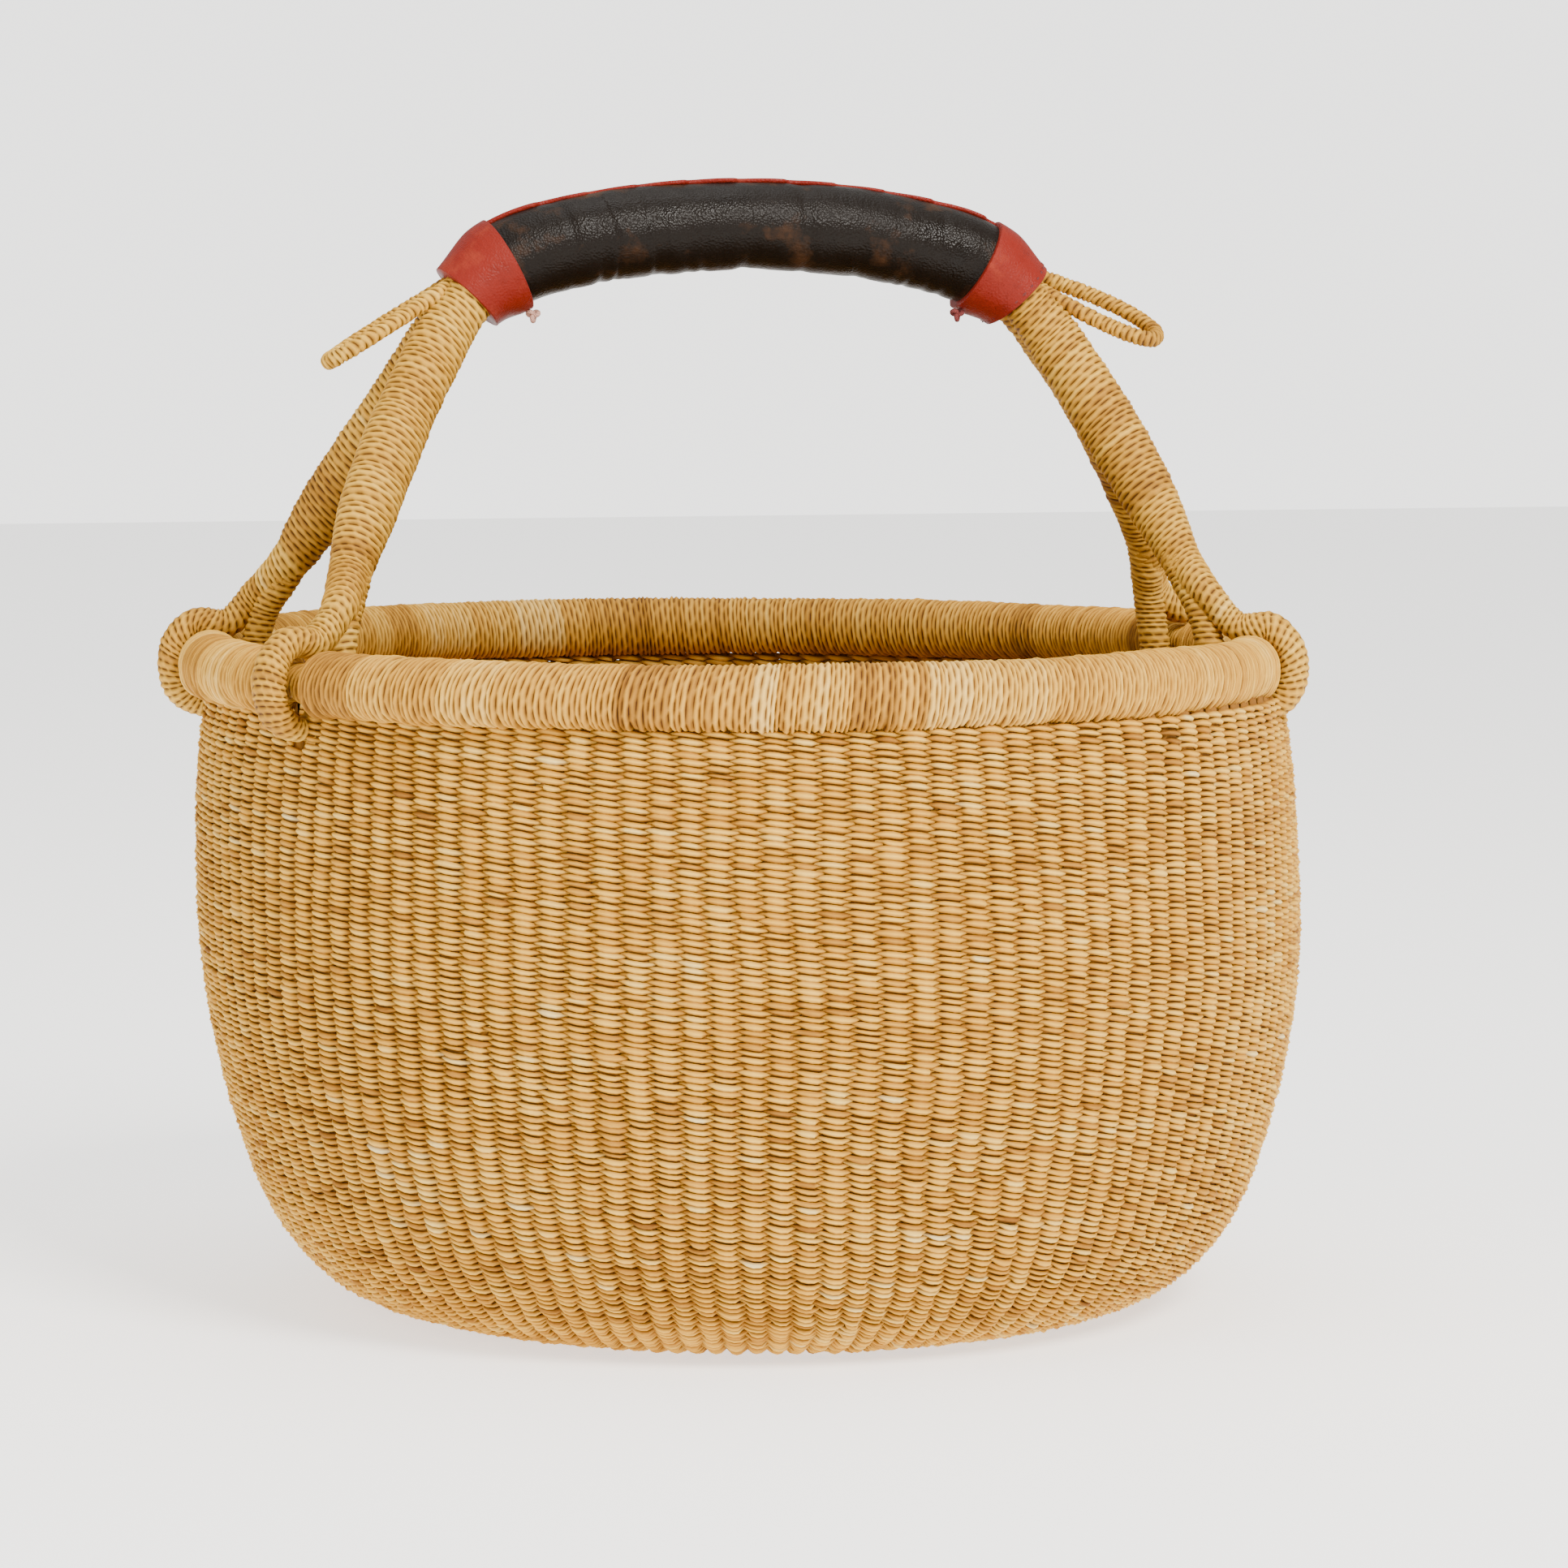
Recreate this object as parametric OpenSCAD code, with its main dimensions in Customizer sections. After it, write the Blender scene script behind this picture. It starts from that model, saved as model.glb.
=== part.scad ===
// Round woven market basket: a twined straw bowl with a wrapped rim and a fixed two-arch handle
// whose four legs fork and loop round the rim. Millimetres, +Z up. The origin is on the surface
// that the basket stands on, under the middle of the bowl. The handle runs along X.

/* [Bowl] */
// Outside diameter of the bowl at its belly
belly_d = 390; // [360:5:420]
// Thickness of the woven wall and base
weave_t = 6.5; // [5:0.5:8]
// Radius of the arc between the flat base and the wall
foot_r = 42; // [36:1:48]
// Radius of the arc from the foot up to the side
hip_r = 110; // [100:5:120]
// Radius of the long arc up to the belly
side_r = 290; // [270:10:310]
// Radius of the arc that leans in above the belly
shoulder_r = 450; // [400:10:500]
// Number of long stakes that run from the base into the rim
stake_count = 32; // [16:4:40]
// Thickness of one stake
stake_t = 2.4; // [1.6:0.2:3]

/* [Rim] */
// Radius of the ring that the rim's middle follows
rim_ring_r = 184; // [182:0.5:186]
// Height of the rim's middle
rim_z = 226; // [224:1:228]
// Diameter of the wrapped rim
rim_d = 22; // [20:0.5:22]
// Diameter of the straw bundle inside the rim
rim_core_d = 16; // [12:0.5:17]

/* [Grip] */
// Height of the grip's middle at the crown
crown_z = 378; // [372:0.5:384]
// Distance of the handle's plane from the middle of the bowl, towards the front
handle_shift = 15; // [10:1:18]
// Diameter over the leather sleeve
sleeve_d = 31.2; // [30.8:0.2:32]
// Thickness of the leather
leather_t = 1.6; // [1.2:0.1:2]
// Radius of the flat arc in the middle of the grip
crown_r = 310; // [290:10:330]
// Slope of the grip where the crown arc ends
crown_slope = 13; // [12:0.5:14]
// Radius of the bend at each end of the grip
bend_r = 58; // [56:1:64]
// Slope of the grip at its ends
end_slope = 46; // [44:1:47]
// Slope of the grip where each red cuff starts
cuff_slope = 28; // [26:0.5:30]

/* [Legs] */
// Diameter of the straw bundle inside an arch
arch_core_d = 12.6; // [11:0.2:13]
// Diameter of a wrapped leg under the grip
leg_d = 20; // [18:0.5:21]
// Angle of the front legs round the bowl, from the handle's direction
front_angle = 24; // [22:0.5:25]
// Angle of the back legs round the bowl, from the handle's direction
back_angle = 11; // [10:0.5:13]
// Direction in which the front rings face
front_heading = 29; // [26:1:31]
// Direction in which the back rings face
back_heading = 13; // [10:1:16]
// Thickness of a ring's wrapped strand, outwards from the rim
ring_t = 7.2; // [7:0.2:8]
// Width of a ring's wrapped strand, along the rim
ring_w = 13; // [12:0.5:14]
// Free height of the rim inside a ring, above and below
ring_slack = 2.2; // [2.1:0.1:2.6]
// Free width of the rim inside a ring, on each side
ring_gap = 1; // [0.9:0.1:1.2]

/* [Ears] */
// Length of a hanging loop
ear_l = 57; // [52:1:62]
// Half of a hanging loop's width, at the strand's middle
ear_w = 10.4; // [9.6:0.2:11]
// Diameter of a wrapped loop strand
ear_d = 6; // [5.4:0.2:7.6]
// Angle of the left loop below level
left_drop = 32; // [28:1:34]
// Angle of the right loop below level
right_drop = 23; // [20:1:28]
// Angle by which the left loop is turned about its own length
left_roll = -2; // [-8:2:16]
// Angle by which the right loop is turned about its own length
right_roll = 28; // [20:2:32]

/* [Hidden] */

straw = "#c9a05a";
pale_straw = "#d8b878";
dark_straw = "#9a7440";
black_leather = "#241d1a";
red_leather = "#9a332c";
thread = "#c08878";

ROUND = 96;    // facets of the large round parts
TUBE = 48;     // facets of a round cross-section
SIDES = 14;    // sides of a swept bundle
LEG_STEPS = 18;
GRIP_STEPS = 12;
EAR_STEPS = 30;
EAR_SIDES = 10;
SLEEVE_SIDES = 20;

belly_r = belly_d / 2;
foot_end = 52;   // slope at which the foot arc meets the hip arc
hip_end = 72;    // slope at which the hip arc meets the side arc
base_r = belly_r - foot_r * sin(foot_end) - hip_r * (sin(hip_end) - sin(foot_end))
  - side_r * (1 - sin(hip_end));
foot_top = foot_r * (1 - cos(foot_end));
hip_top = foot_top + hip_r * (cos(foot_end) - cos(hip_end));
belly_z = hip_top + side_r * cos(hip_end);
wall_top = rim_z - rim_d / 2 - 2;
wall_foot = base_r - 6;   // the wall's weft starts here and the base's weft ends

// A point on the outside of the bowl, moved inwards by d. s is the slope of the surface: 0 on the
// flat base, 90 at the belly, and more than 90 above it.
function bowl_point(s, d) =
  s <= foot_end ? [base_r + (foot_r - d) * sin(s), foot_r - (foot_r - d) * cos(s)] :
  s <= hip_end ? [
    base_r + foot_r * sin(foot_end) + hip_r * (sin(s) - sin(foot_end)) - d * sin(s),
    foot_top + hip_r * (cos(foot_end) - cos(s)) + d * cos(s)
  ] :
  s <= 90 ? [
    belly_r - side_r * (1 - sin(s)) - d * sin(s),
    belly_z - side_r * cos(s) + d * cos(s)
  ] : [
    belly_r - shoulder_r * (1 - sin(s)) - d * sin(s),
    belly_z - (shoulder_r - d) * cos(s)
  ];

// The slope of the shoulder at height z, for a surface moved inwards by d
function shoulder_slope(z, d) = 90 + asin((z - belly_z) / (shoulder_r - d));

// The outline of a layer of the bowl from slope s0 up to height z1, between depths d0 and d1
function layer_outline(s0, z1, d0, d1, steps = 16) = concat(
  [for (i = [0:steps]) bowl_point(s0 + (shoulder_slope(z1, d0) - s0) * i / steps, d0)],
  [for (i = [steps:-1:0]) bowl_point(s0 + (shoulder_slope(z1, d1) - s0) * i / steps, d1)]
);

// ---- swept bundles ----

function unit(v) = v / norm(v);
function bezier(a, b, c, d, t) =
  a * pow(1 - t, 3) + b * 3 * t * pow(1 - t, 2) + c * 3 * t * t * (1 - t) + d * pow(t, 3);
function tangent(path, i) =
  unit(path[min(i + 1, len(path) - 1)] - path[max(i - 1, 0)]);

// The points of a ring of the swept tube round each point of a path
function rings(path, radii, across, sides) = [
  for (i = [0:len(path) - 1])
    let (t = tangent(path, i), n = unit(cross(across, t)), b = cross(t, n))
      for (j = [0:sides - 1])
        path[i] + radii[i] * (n * cos(360 * j / sides) + b * sin(360 * j / sides))
];

// Triangles between the rings of one skin, turned over when inside is true
function skin(count, first, inside, sides) = [
  for (i = [0:count - 2]) for (j = [0:sides - 1])
    let (k = (j + 1) % sides, a = first + i * sides, b = a + sides)
      each inside
        ? [[a + j, a + k, b + j], [a + k, b + k, b + j]]
        : [[a + j, b + j, a + k], [a + k, b + j, b + k]]
];

// A solid bundle that follows a path
module bundle(path, radii, across, sides = SIDES) {
  n = len(path);
  last = (n - 1) * sides;
  polyhedron(
    points = rings(path, radii, across, sides),
    faces = concat(
      skin(n, 0, false, sides),
      [[for (j = [0:sides - 1]) j], [for (j = [sides - 1:-1:0]) last + j]]
    ),
    convexity = 8
  );
}

// A wrapping that follows a path, open at both ends
module wrapping(path, radii, inner_radii, across, sides = SIDES) {
  n = len(path);
  inner = n * sides;
  last = (n - 1) * sides;
  polyhedron(
    points = concat(rings(path, radii, across, sides), rings(path, inner_radii, across, sides)),
    faces = concat(
      skin(n, 0, false, sides),
      skin(n, inner, true, sides),
      [for (j = [0:sides - 1]) let (k = (j + 1) % sides)
        each [[j, k, inner + j], [k, inner + k, inner + j]]],
      [for (j = [0:sides - 1]) let (k = (j + 1) % sides)
        each [[last + j, inner + last + j, last + k],
          [last + k, inner + last + j, inner + last + k]]]
    ),
    convexity = 8
  );
}

// ---- the bowl ----

// The crossed bundles of straw that the base is started from
module base_cross() {
  color(dark_straw)
    for (a = [0:45:135])
      rotate([0, 0, a])
        translate([-32, -7, weave_t / 2 - stake_t / 2])
          cube([64, 14, stake_t]);
}

// The base, twined round and round from the middle
module base_weft() {
  color(straw)
    cylinder(h = weave_t, r = wall_foot, $fn = ROUND);
}

// The outline of the whole thickness of the weave between the slopes s0 and s1
function weave_outline(s0, s1, steps = 12) = concat(
  [for (i = [0:steps]) bowl_point(s0 + (s1 - s0) * i / steps, 0)],
  [for (i = [steps:-1:0]) bowl_point(s0 + (s1 - s0) * i / steps, weave_t)]
);

// A cutter round the path of each ring where it goes through the wall under the rim
module ring_slots() {
  slot_w = ring_w + 3;
  slot_top = rim_z;
  slot_bottom = rim_z - rim_d / 2 - ring_slack - ring_t - 3.2;
  for (side = [-1, 1]) for (front = [true, false])
    translate([side * ring_centre(front)[0], ring_centre(front)[1], slot_bottom])
      rotate([0, 0, side * (front ? -front_heading : back_heading)])
        translate([-30, -slot_w / 2, 0])
          cube([60, slot_w, slot_top - slot_bottom]);
}

// The side of the bowl, twined round the stakes in four bands of rows, one for each of its arcs
module weave_band(outline) {
  color(straw)
    rotate_extrude($fn = ROUND)
      polygon(outline);
}
module wall_weft_foot() {
  weave_band(concat([[wall_foot, weave_t], [wall_foot, 0]], weave_outline(0, foot_end)));
}
module wall_weft_hip() { weave_band(weave_outline(foot_end, hip_end)); }
module wall_weft_side() { weave_band(weave_outline(hip_end, 90)); }

// The last band ends just under the rim, where the handle's rings go through it
module wall_weft_shoulder() {
  difference() {
    weave_band(layer_outline(90, wall_top, 0, weave_t));
    ring_slots();
  }
}

// One stake: a flat rib in the middle of the weave, from the base into the rim
module stake(inner_r) {
  d0 = (weave_t - stake_t) / 2;
  d1 = d0 + stake_t;
  rotate([90, 0, 0])
    linear_extrude(height = stake_t, center = true)
      polygon(concat(
        [[inner_r, d1], [inner_r, d0]],
        layer_outline(0, rim_z - rim_core_d / 2 + 2, d0, d1)
      ));
}

// A ring of stakes, cut short where the handle's rings go through the wall
module stakes(inner_r, first) {
  color(dark_straw)
    difference() {
      for (i = [0:stake_count - 1])
        rotate([0, 0, first + 360 * i / stake_count])
          stake(inner_r);
      ring_slots();
    }
}
module stakes_long() { stakes(34, 0); }
module stakes_added() { stakes(96, 180 / stake_count); }

// The bundle of turned-over stake ends inside the rim
module rim_core() {
  color(dark_straw)
    translate([0, 0, rim_z])
      rotate_extrude($fn = ROUND)
        translate([rim_ring_r, 0])
          circle(d = rim_core_d, $fn = TUBE);
}

// The straw wound round the rim
module rim_wrap() {
  color(pale_straw)
    translate([0, 0, rim_z])
      rotate_extrude($fn = ROUND)
        translate([rim_ring_r, 0])
          difference() {
            circle(d = rim_d, $fn = TUBE);
            circle(d = rim_core_d, $fn = TUBE);
          }
}

// ---- the grip ----

sleeve_r = sleeve_d / 2;
pad_r = sleeve_r - leather_t;
core_r = arch_core_d / 2;
core_y = core_r + 0.1;
pad_bundle_r = 4.4;   // radius of a packing bundle in the grip
pad_offset = 8.8;     // distance of a packing bundle from the grip's middle
crown_centre_z = crown_z - crown_r;
bend_x = (crown_r - bend_r) * sin(crown_slope);
bend_z = crown_centre_z + (crown_r - bend_r) * cos(crown_slope);

// A point on the grip's middle line at slope s, negative on the left
function grip_point(s) =
  abs(s) <= crown_slope
    ? [crown_r * sin(s), -handle_shift, crown_centre_z + crown_r * cos(s)]
    : [sign(s) * (bend_x + bend_r * sin(abs(s))), -handle_shift, bend_z + bend_r * cos(s)];

// Turns a 2D profile round an axis along Y, from slope s0 to slope s1. The profile's X is outwards.
module arc_sweep(radius, s0, s1) {
  rotate([90, 0, 0])
    rotate([0, 0, 90 - s1])
      rotate_extrude(angle = s1 - s0, $fn = 240)
        translate([radius, 0])
          children();
}

// The end bend of the grip on the right, from slope s0 to slope s1
module bend_sweep(s0, s1) {
  translate([bend_x, -handle_shift, bend_z])
    arc_sweep(bend_r, s0, s1)
      children();
}

// The middle line of the grip, moved outwards from its centre of curvature by out and back by aside
function grip_path(out, aside) = [
  for (i = [-GRIP_STEPS:GRIP_STEPS])
    let (s = end_slope * i / GRIP_STEPS)
      grip_point(s) + [out * sin(s), aside, out * cos(s)]
];

// The bundles of straw that pack the grooves above and below the two arches inside the grip
module grip_pad(out) {
  color(straw)
    bundle(grip_path(out, 0), [for (i = [0:2 * GRIP_STEPS]) pad_bundle_r], [0, 1, 0]);
}
module grip_pad_upper() { grip_pad(pad_offset); }
module grip_pad_lower() { grip_pad(-pad_offset); }

// The dark leather sleeve
module grip_sleeve() {
  path = grip_path(0, 0);
  color(black_leather)
    wrapping(path, [for (p = path) sleeve_r], [for (p = path) pad_r], [0, 1, 0], SLEEVE_SIDES);
}

// The red leather strip laced along the sleeve's seam, on the top towards the back
module grip_lace() {
  lace_w = 44;     // width, as an angle round the sleeve
  lace_turn = 22;  // how far its middle lies behind the top
  lace_end = cuff_slope - 0.2;
  color(red_leather) {
    translate([0, -handle_shift, crown_centre_z])
      arc_sweep(crown_r, -crown_slope, crown_slope)
        lace_profile(lace_w, lace_turn);
    for (side = [0, 1])
      mirror([side, 0, 0])
        bend_sweep(crown_slope, lace_end)
          lace_profile(lace_w, lace_turn);
  }
}
module lace_profile(width, turn) {
  reach = 2 * sleeve_r;
  intersection() {
    difference() {
      circle(r = sleeve_r + 1.1, $fn = TUBE);
      circle(r = sleeve_r, $fn = TUBE);
    }
    rotate(-turn)
      polygon([
        [0, 0],
        [reach, -reach * tan(width / 2)],
        [reach, reach * tan(width / 2)]
      ]);
  }
}

// A red leather cuff over the end of the sleeve
module cuff_right() {
  color(red_leather)
    bend_sweep(cuff_slope, end_slope)
      difference() {
        circle(r = sleeve_r + leather_t, $fn = TUBE);
        circle(r = sleeve_r, $fn = TUBE);
      }
}
module cuff_left() {
  mirror([1, 0, 0])
    cuff_right();
}

// The thread knot that closes a cuff, under its inner end
module cuff_knot(side) {
  knot_d = 5;
  s = side * (cuff_slope + 2);
  p = grip_point(s);
  out = sleeve_r + leather_t + knot_d / 2 - 0.6;
  color(thread)
    translate([p[0] - out * sin(s), p[1] - 4, p[2] - out * cos(s)])
      sphere(d = knot_d, $fn = 24);
}
module cuff_knot_left() { cuff_knot(-1); }
module cuff_knot_right() { cuff_knot(1); }

// ---- the arches and their rings ----

ring_r = rim_d / 2 + ring_gap + ring_t / 2;   // radius of the ring's middle line
ring_straight = 2 * (ring_slack - ring_gap);  // the ring's straight stretch on each side
leg_foot_z = rim_z + rim_d / 2 + 3;

// The middle of a ring, on the right, on the rim's middle line
function ring_centre(front) =
  let (a = front ? -front_angle : back_angle, h = front ? -front_heading : back_heading)
    // the leg stands at angle a on the ring's inner side, one ring radius in from the rim
    let (leg = (rim_ring_r - ring_r) * [cos(a), sin(a)], dir = [cos(h), sin(h)])
      let (along = leg * dir)
        leg + dir * (sqrt(along * along - leg * leg + rim_ring_r * rim_ring_r) - along);

// The foot of a leg, on the right, at the inner side of its ring
function leg_foot(front) =
  let (c = ring_centre(front), h = front ? -front_heading : back_heading)
    [c[0] - ring_r * cos(h), c[1] - ring_r * sin(h), leg_foot_z];

// The middle line of a leg on the right, from the grip's end down to its foot
function leg_path(front) =
  let (
    top = grip_point(end_slope) + [0, (front ? -1 : 1) * core_y, 0],
    foot = leg_foot(front),
    h = front ? -front_heading : back_heading,
    down = [cos(h) * 0.24, (front ? -1 : 1) * 0.6, -1]
  )
    [for (i = [0:LEG_STEPS])
      bezier(top, top + 20 * [cos(end_slope), 0, -sin(end_slope)], foot - 36 * down, foot,
        i / LEG_STEPS)];

function mirrored(path) = [for (p = path) [-p[0], p[1], p[2]]];
function backwards(path) = [for (i = [len(path) - 1:-1:0]) path[i]];

// The middle line of a whole arch, from the left foot through the grip to the right foot
function arch_path(front) = concat(
  backwards(mirrored(leg_path(front))),
  [for (i = [1:2 * GRIP_STEPS - 1]) grip_path(0, (front ? -1 : 1) * core_y)[i]],
  leg_path(front)
);

// Slimmer at the last steps, where the bundle forks into the ring
function core_radius(i, count) = core_r * min(1, 0.7 + 0.1 * min(i, count - 1 - i));

module arch_core(front) {
  path = arch_path(front);
  color(dark_straw)
    bundle(path, [for (i = [0:len(path) - 1]) core_radius(i, len(path))], [0, 1, 0]);
}
module arch_core_front() { arch_core(true); }
module arch_core_back() { arch_core(false); }

// The outside radius of a leg at step i: slim under the cuff, full in the middle, slim at the fork
function leg_radius(i) =
  i < 3 ? leg_d / 2 - 2.2 + 0.7 * i :
  i > LEG_STEPS - 4 ? leg_d / 2 - 1 - 0.8 * (i - LEG_STEPS + 4) :
  leg_d / 2 - 0.1 * (i - 3) / 1.6;

// The straw wound round one leg
module leg_wrap(side, front) {
  path = side > 0 ? leg_path(front) : mirrored(leg_path(front));
  color(straw)
    wrapping(
      path,
      [for (i = [0:LEG_STEPS]) leg_radius(i)],
      [for (i = [0:LEG_STEPS]) core_radius(LEG_STEPS - i, 1000)],
      [0, 1, 0]
    );
}
module leg_wrap_front_left() { leg_wrap(-1, true); }
module leg_wrap_front_right() { leg_wrap(1, true); }
module leg_wrap_back_left() { leg_wrap(-1, false); }
module leg_wrap_back_right() { leg_wrap(1, false); }

// A closed upright ring round the rim, with a straight stretch on both sides
module ring(side, front) {
  c = ring_centre(front);
  translate([side * c[0], c[1], rim_z])
    rotate([90, 0, side * (front ? -front_heading : back_heading)]) {
      for (turn = [0, 180])
        rotate([0, 0, turn])
          translate([0, ring_straight / 2, 0])
            rotate_extrude(angle = 180, $fn = ROUND)
              translate([ring_r, 0])
                children();
      for (way = [-1, 1])
        translate([way * ring_r, 0, 0])
          rotate([90, 0, way > 0 ? 0 : 180])
            linear_extrude(height = ring_straight, center = true)
              children();
    }
}
module ring_core(side, front) {
  color(dark_straw)
    ring(side, front)
      strand(ring_w - 3.6, ring_t - 3.6);
}
module ring_wrap(side, front) {
  color(straw)
    ring(side, front)
      difference() {
        strand(ring_w, ring_t);
        strand(ring_w - 3.6, ring_t - 3.6);
      }
}

// The flattened round section of a ring's strand
module strand(width, thickness) {
  reach = (width - thickness) / 2;
  for (way = [-1, 1])
    translate([0, way * reach])
      circle(d = thickness, $fn = TUBE);
  square([thickness, 2 * reach], center = true);
}
module ring_core_front_left() { ring_core(-1, true); }
module ring_core_front_right() { ring_core(1, true); }
module ring_core_back_left() { ring_core(-1, false); }
module ring_core_back_right() { ring_core(1, false); }
module ring_wrap_front_left() { ring_wrap(-1, true); }
module ring_wrap_front_right() { ring_wrap(1, true); }
module ring_wrap_back_left() { ring_wrap(-1, false); }
module ring_wrap_back_right() { ring_wrap(1, false); }

// ---- the hanging loops ----

// The direction along a loop, and across it in its own plane
function ear_along(side) =
  let (drop = side > 0 ? right_drop : left_drop)
    [side * cos(drop), 0, -sin(drop)];
function ear_across(side) =
  let (
    along = ear_along(side),
    up = [-side * along[2], 0, side * along[0]],
    roll = side > 0 ? right_roll : left_roll
  )
    [0, cos(roll), 0] + up * sin(roll);

// The middle line of a loop: out from the cuff, round the tip and back
function ear_path(side) =
  let (
    root = grip_point(side * end_slope) + [0, 0, 8],
    spread = ear_d / 2 + 0.3
  )
    [for (i = [0:EAR_STEPS])
      let (a = 180 * i / EAR_STEPS)
        root + ear_along(side) * ear_l * sin(a)
          + ear_across(side) * (spread * cos(a) + (ear_w - 0.7 * spread) * sin(2 * a))];

module ear_core(side) {
  path = ear_path(side);
  across = cross(ear_along(side), ear_across(side));
  color(dark_straw)
    bundle(path, [for (p = path) ear_d / 4], across, EAR_SIDES);
}
module ear_wrap(side) {
  path = ear_path(side);
  across = cross(ear_along(side), ear_across(side));
  color(pale_straw)
    wrapping(path, [for (p = path) ear_d / 2], [for (p = path) ear_d / 4], across, EAR_SIDES);
}
module ear_core_left() { ear_core(-1); }
module ear_core_right() { ear_core(1); }
module ear_wrap_left() { ear_wrap(-1); }
module ear_wrap_right() { ear_wrap(1); }

base_cross();
base_weft();
wall_weft_foot();
wall_weft_hip();
wall_weft_side();
wall_weft_shoulder();
stakes_long();
stakes_added();
rim_core();
rim_wrap();
arch_core_front();
arch_core_back();
grip_pad_upper();
grip_pad_lower();
grip_sleeve();
grip_lace();
cuff_left();
cuff_right();
cuff_knot_left();
cuff_knot_right();
leg_wrap_front_left();
leg_wrap_front_right();
leg_wrap_back_left();
leg_wrap_back_right();
ring_core_front_left();
ring_core_front_right();
ring_core_back_left();
ring_core_back_right();
ring_wrap_front_left();
ring_wrap_front_right();
ring_wrap_back_left();
ring_wrap_back_right();
ear_core_left();
ear_core_right();
ear_wrap_left();
ear_wrap_right();
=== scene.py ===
"""A round market basket: twined straw bowl, wrapped rim and a leather-gripped two-arch handle.

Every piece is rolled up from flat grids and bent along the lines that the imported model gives.
"""

import logging
import math
from dataclasses import dataclass, field
from enum import Enum
from typing import Callable

import bmesh
import bpy
import numpy as np
from mathutils import Matrix, Vector


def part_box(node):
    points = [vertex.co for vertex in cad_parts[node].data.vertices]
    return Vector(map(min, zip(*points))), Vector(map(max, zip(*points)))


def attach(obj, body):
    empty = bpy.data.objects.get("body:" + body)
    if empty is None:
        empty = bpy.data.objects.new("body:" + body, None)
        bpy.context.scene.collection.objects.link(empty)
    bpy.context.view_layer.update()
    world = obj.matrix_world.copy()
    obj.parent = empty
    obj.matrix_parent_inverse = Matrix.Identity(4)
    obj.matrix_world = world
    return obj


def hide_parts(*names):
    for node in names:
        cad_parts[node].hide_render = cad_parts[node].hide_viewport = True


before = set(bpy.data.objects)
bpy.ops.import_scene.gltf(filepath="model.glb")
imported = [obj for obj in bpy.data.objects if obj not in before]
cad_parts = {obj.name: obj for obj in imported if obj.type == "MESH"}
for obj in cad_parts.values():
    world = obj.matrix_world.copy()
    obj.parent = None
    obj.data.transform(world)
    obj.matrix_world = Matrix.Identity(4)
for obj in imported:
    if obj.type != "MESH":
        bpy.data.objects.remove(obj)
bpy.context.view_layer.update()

LOG = logging.getLogger("basket")
MM = 0.001
WELD = 1e-6
SEAM_NUDGE = 1e-4
FULL_TURN = 2 * math.pi
UP = np.array([0.0, 0, 1])
BACKWARDS = np.array([0.0, 1, 0])

HEADING_REACH = 1.5 * MM
KNOT_STEPS = 24

WALL_NODES = ("wall_weft_foot", "wall_weft_hip", "wall_weft_side", "wall_weft_shoulder")

Array = np.ndarray
Marks = dict[str, Array]
Placer = Callable[[Array, Array, Array], tuple[Array, Marks]]
Section = Callable[[Array], tuple[Array, Array]]
Spot = tuple[float, float, float]
Colour = tuple[float, float, float]


class Body(Enum):
    """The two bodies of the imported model."""

    BASKET = "basket"
    HANDLE = "handle"


class Side(Enum):
    """The left or the right end of the handle, with its sign along X."""

    LEFT = -1
    RIGHT = 1


class Arch(Enum):
    """One of the handle's two arches, with its sign along Y."""

    FRONT = -1
    BACK = 1


# ---------------------------------------------------------------- helpers


def new_object(name: str, data: bpy.types.ID) -> bpy.types.Object:
    """Puts a new object into the scene.

    Args:
        name: The object's name.
        data: Its mesh, lamp or camera.

    Returns:
        The object, at the origin.
    """
    thing = bpy.data.objects.new(name, data)
    bpy.context.scene.collection.objects.link(thing)
    return thing


def unit(vectors: Array) -> Array:
    """Scales vectors to length one.

    Args:
        vectors: One vector, or one per row.

    Returns:
        The vectors at length one.
    """
    return vectors / np.linalg.norm(vectors, axis=-1, keepdims=True)


def smooth(low: float, high: float, value: Array) -> Array:
    """Rises smoothly from 0 at low to 1 at high.

    Args:
        low: Where the rise starts.
        high: Where it ends.
        value: The values to map.

    Returns:
        A number from 0 to 1 for each value.
    """
    t = np.clip((value - low) / (high - low), 0, 1)
    return t * t * (3 - 2 * t)


@dataclass(frozen=True)
class Ripple:
    """A gentle unevenness over an angle and a height, which closes on itself after a full turn."""

    seed: int
    waves: int = 8
    most_lobes: int = 9
    longest: float = 0.30
    shortest: float = 0.05

    def at(self, angle: Array, height: Array) -> Array:
        """Gives the unevenness at each place.

        Args:
            angle: The angle round the axis, in radians.
            height: The height or length along the surface, in metres.

        Returns:
            Values mostly between -1 and 1.
        """
        draw = np.random.default_rng(self.seed)
        total = np.zeros(np.broadcast(angle, height).shape)
        for _ in range(self.waves):
            lobes = draw.integers(0, self.most_lobes + 1)
            rate = FULL_TURN / draw.uniform(self.shortest, self.longest) * draw.choice([-1, 1])
            total += np.cos(lobes * angle + rate * height + draw.uniform(0, FULL_TURN))
        return total / math.sqrt(self.waves)


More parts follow.
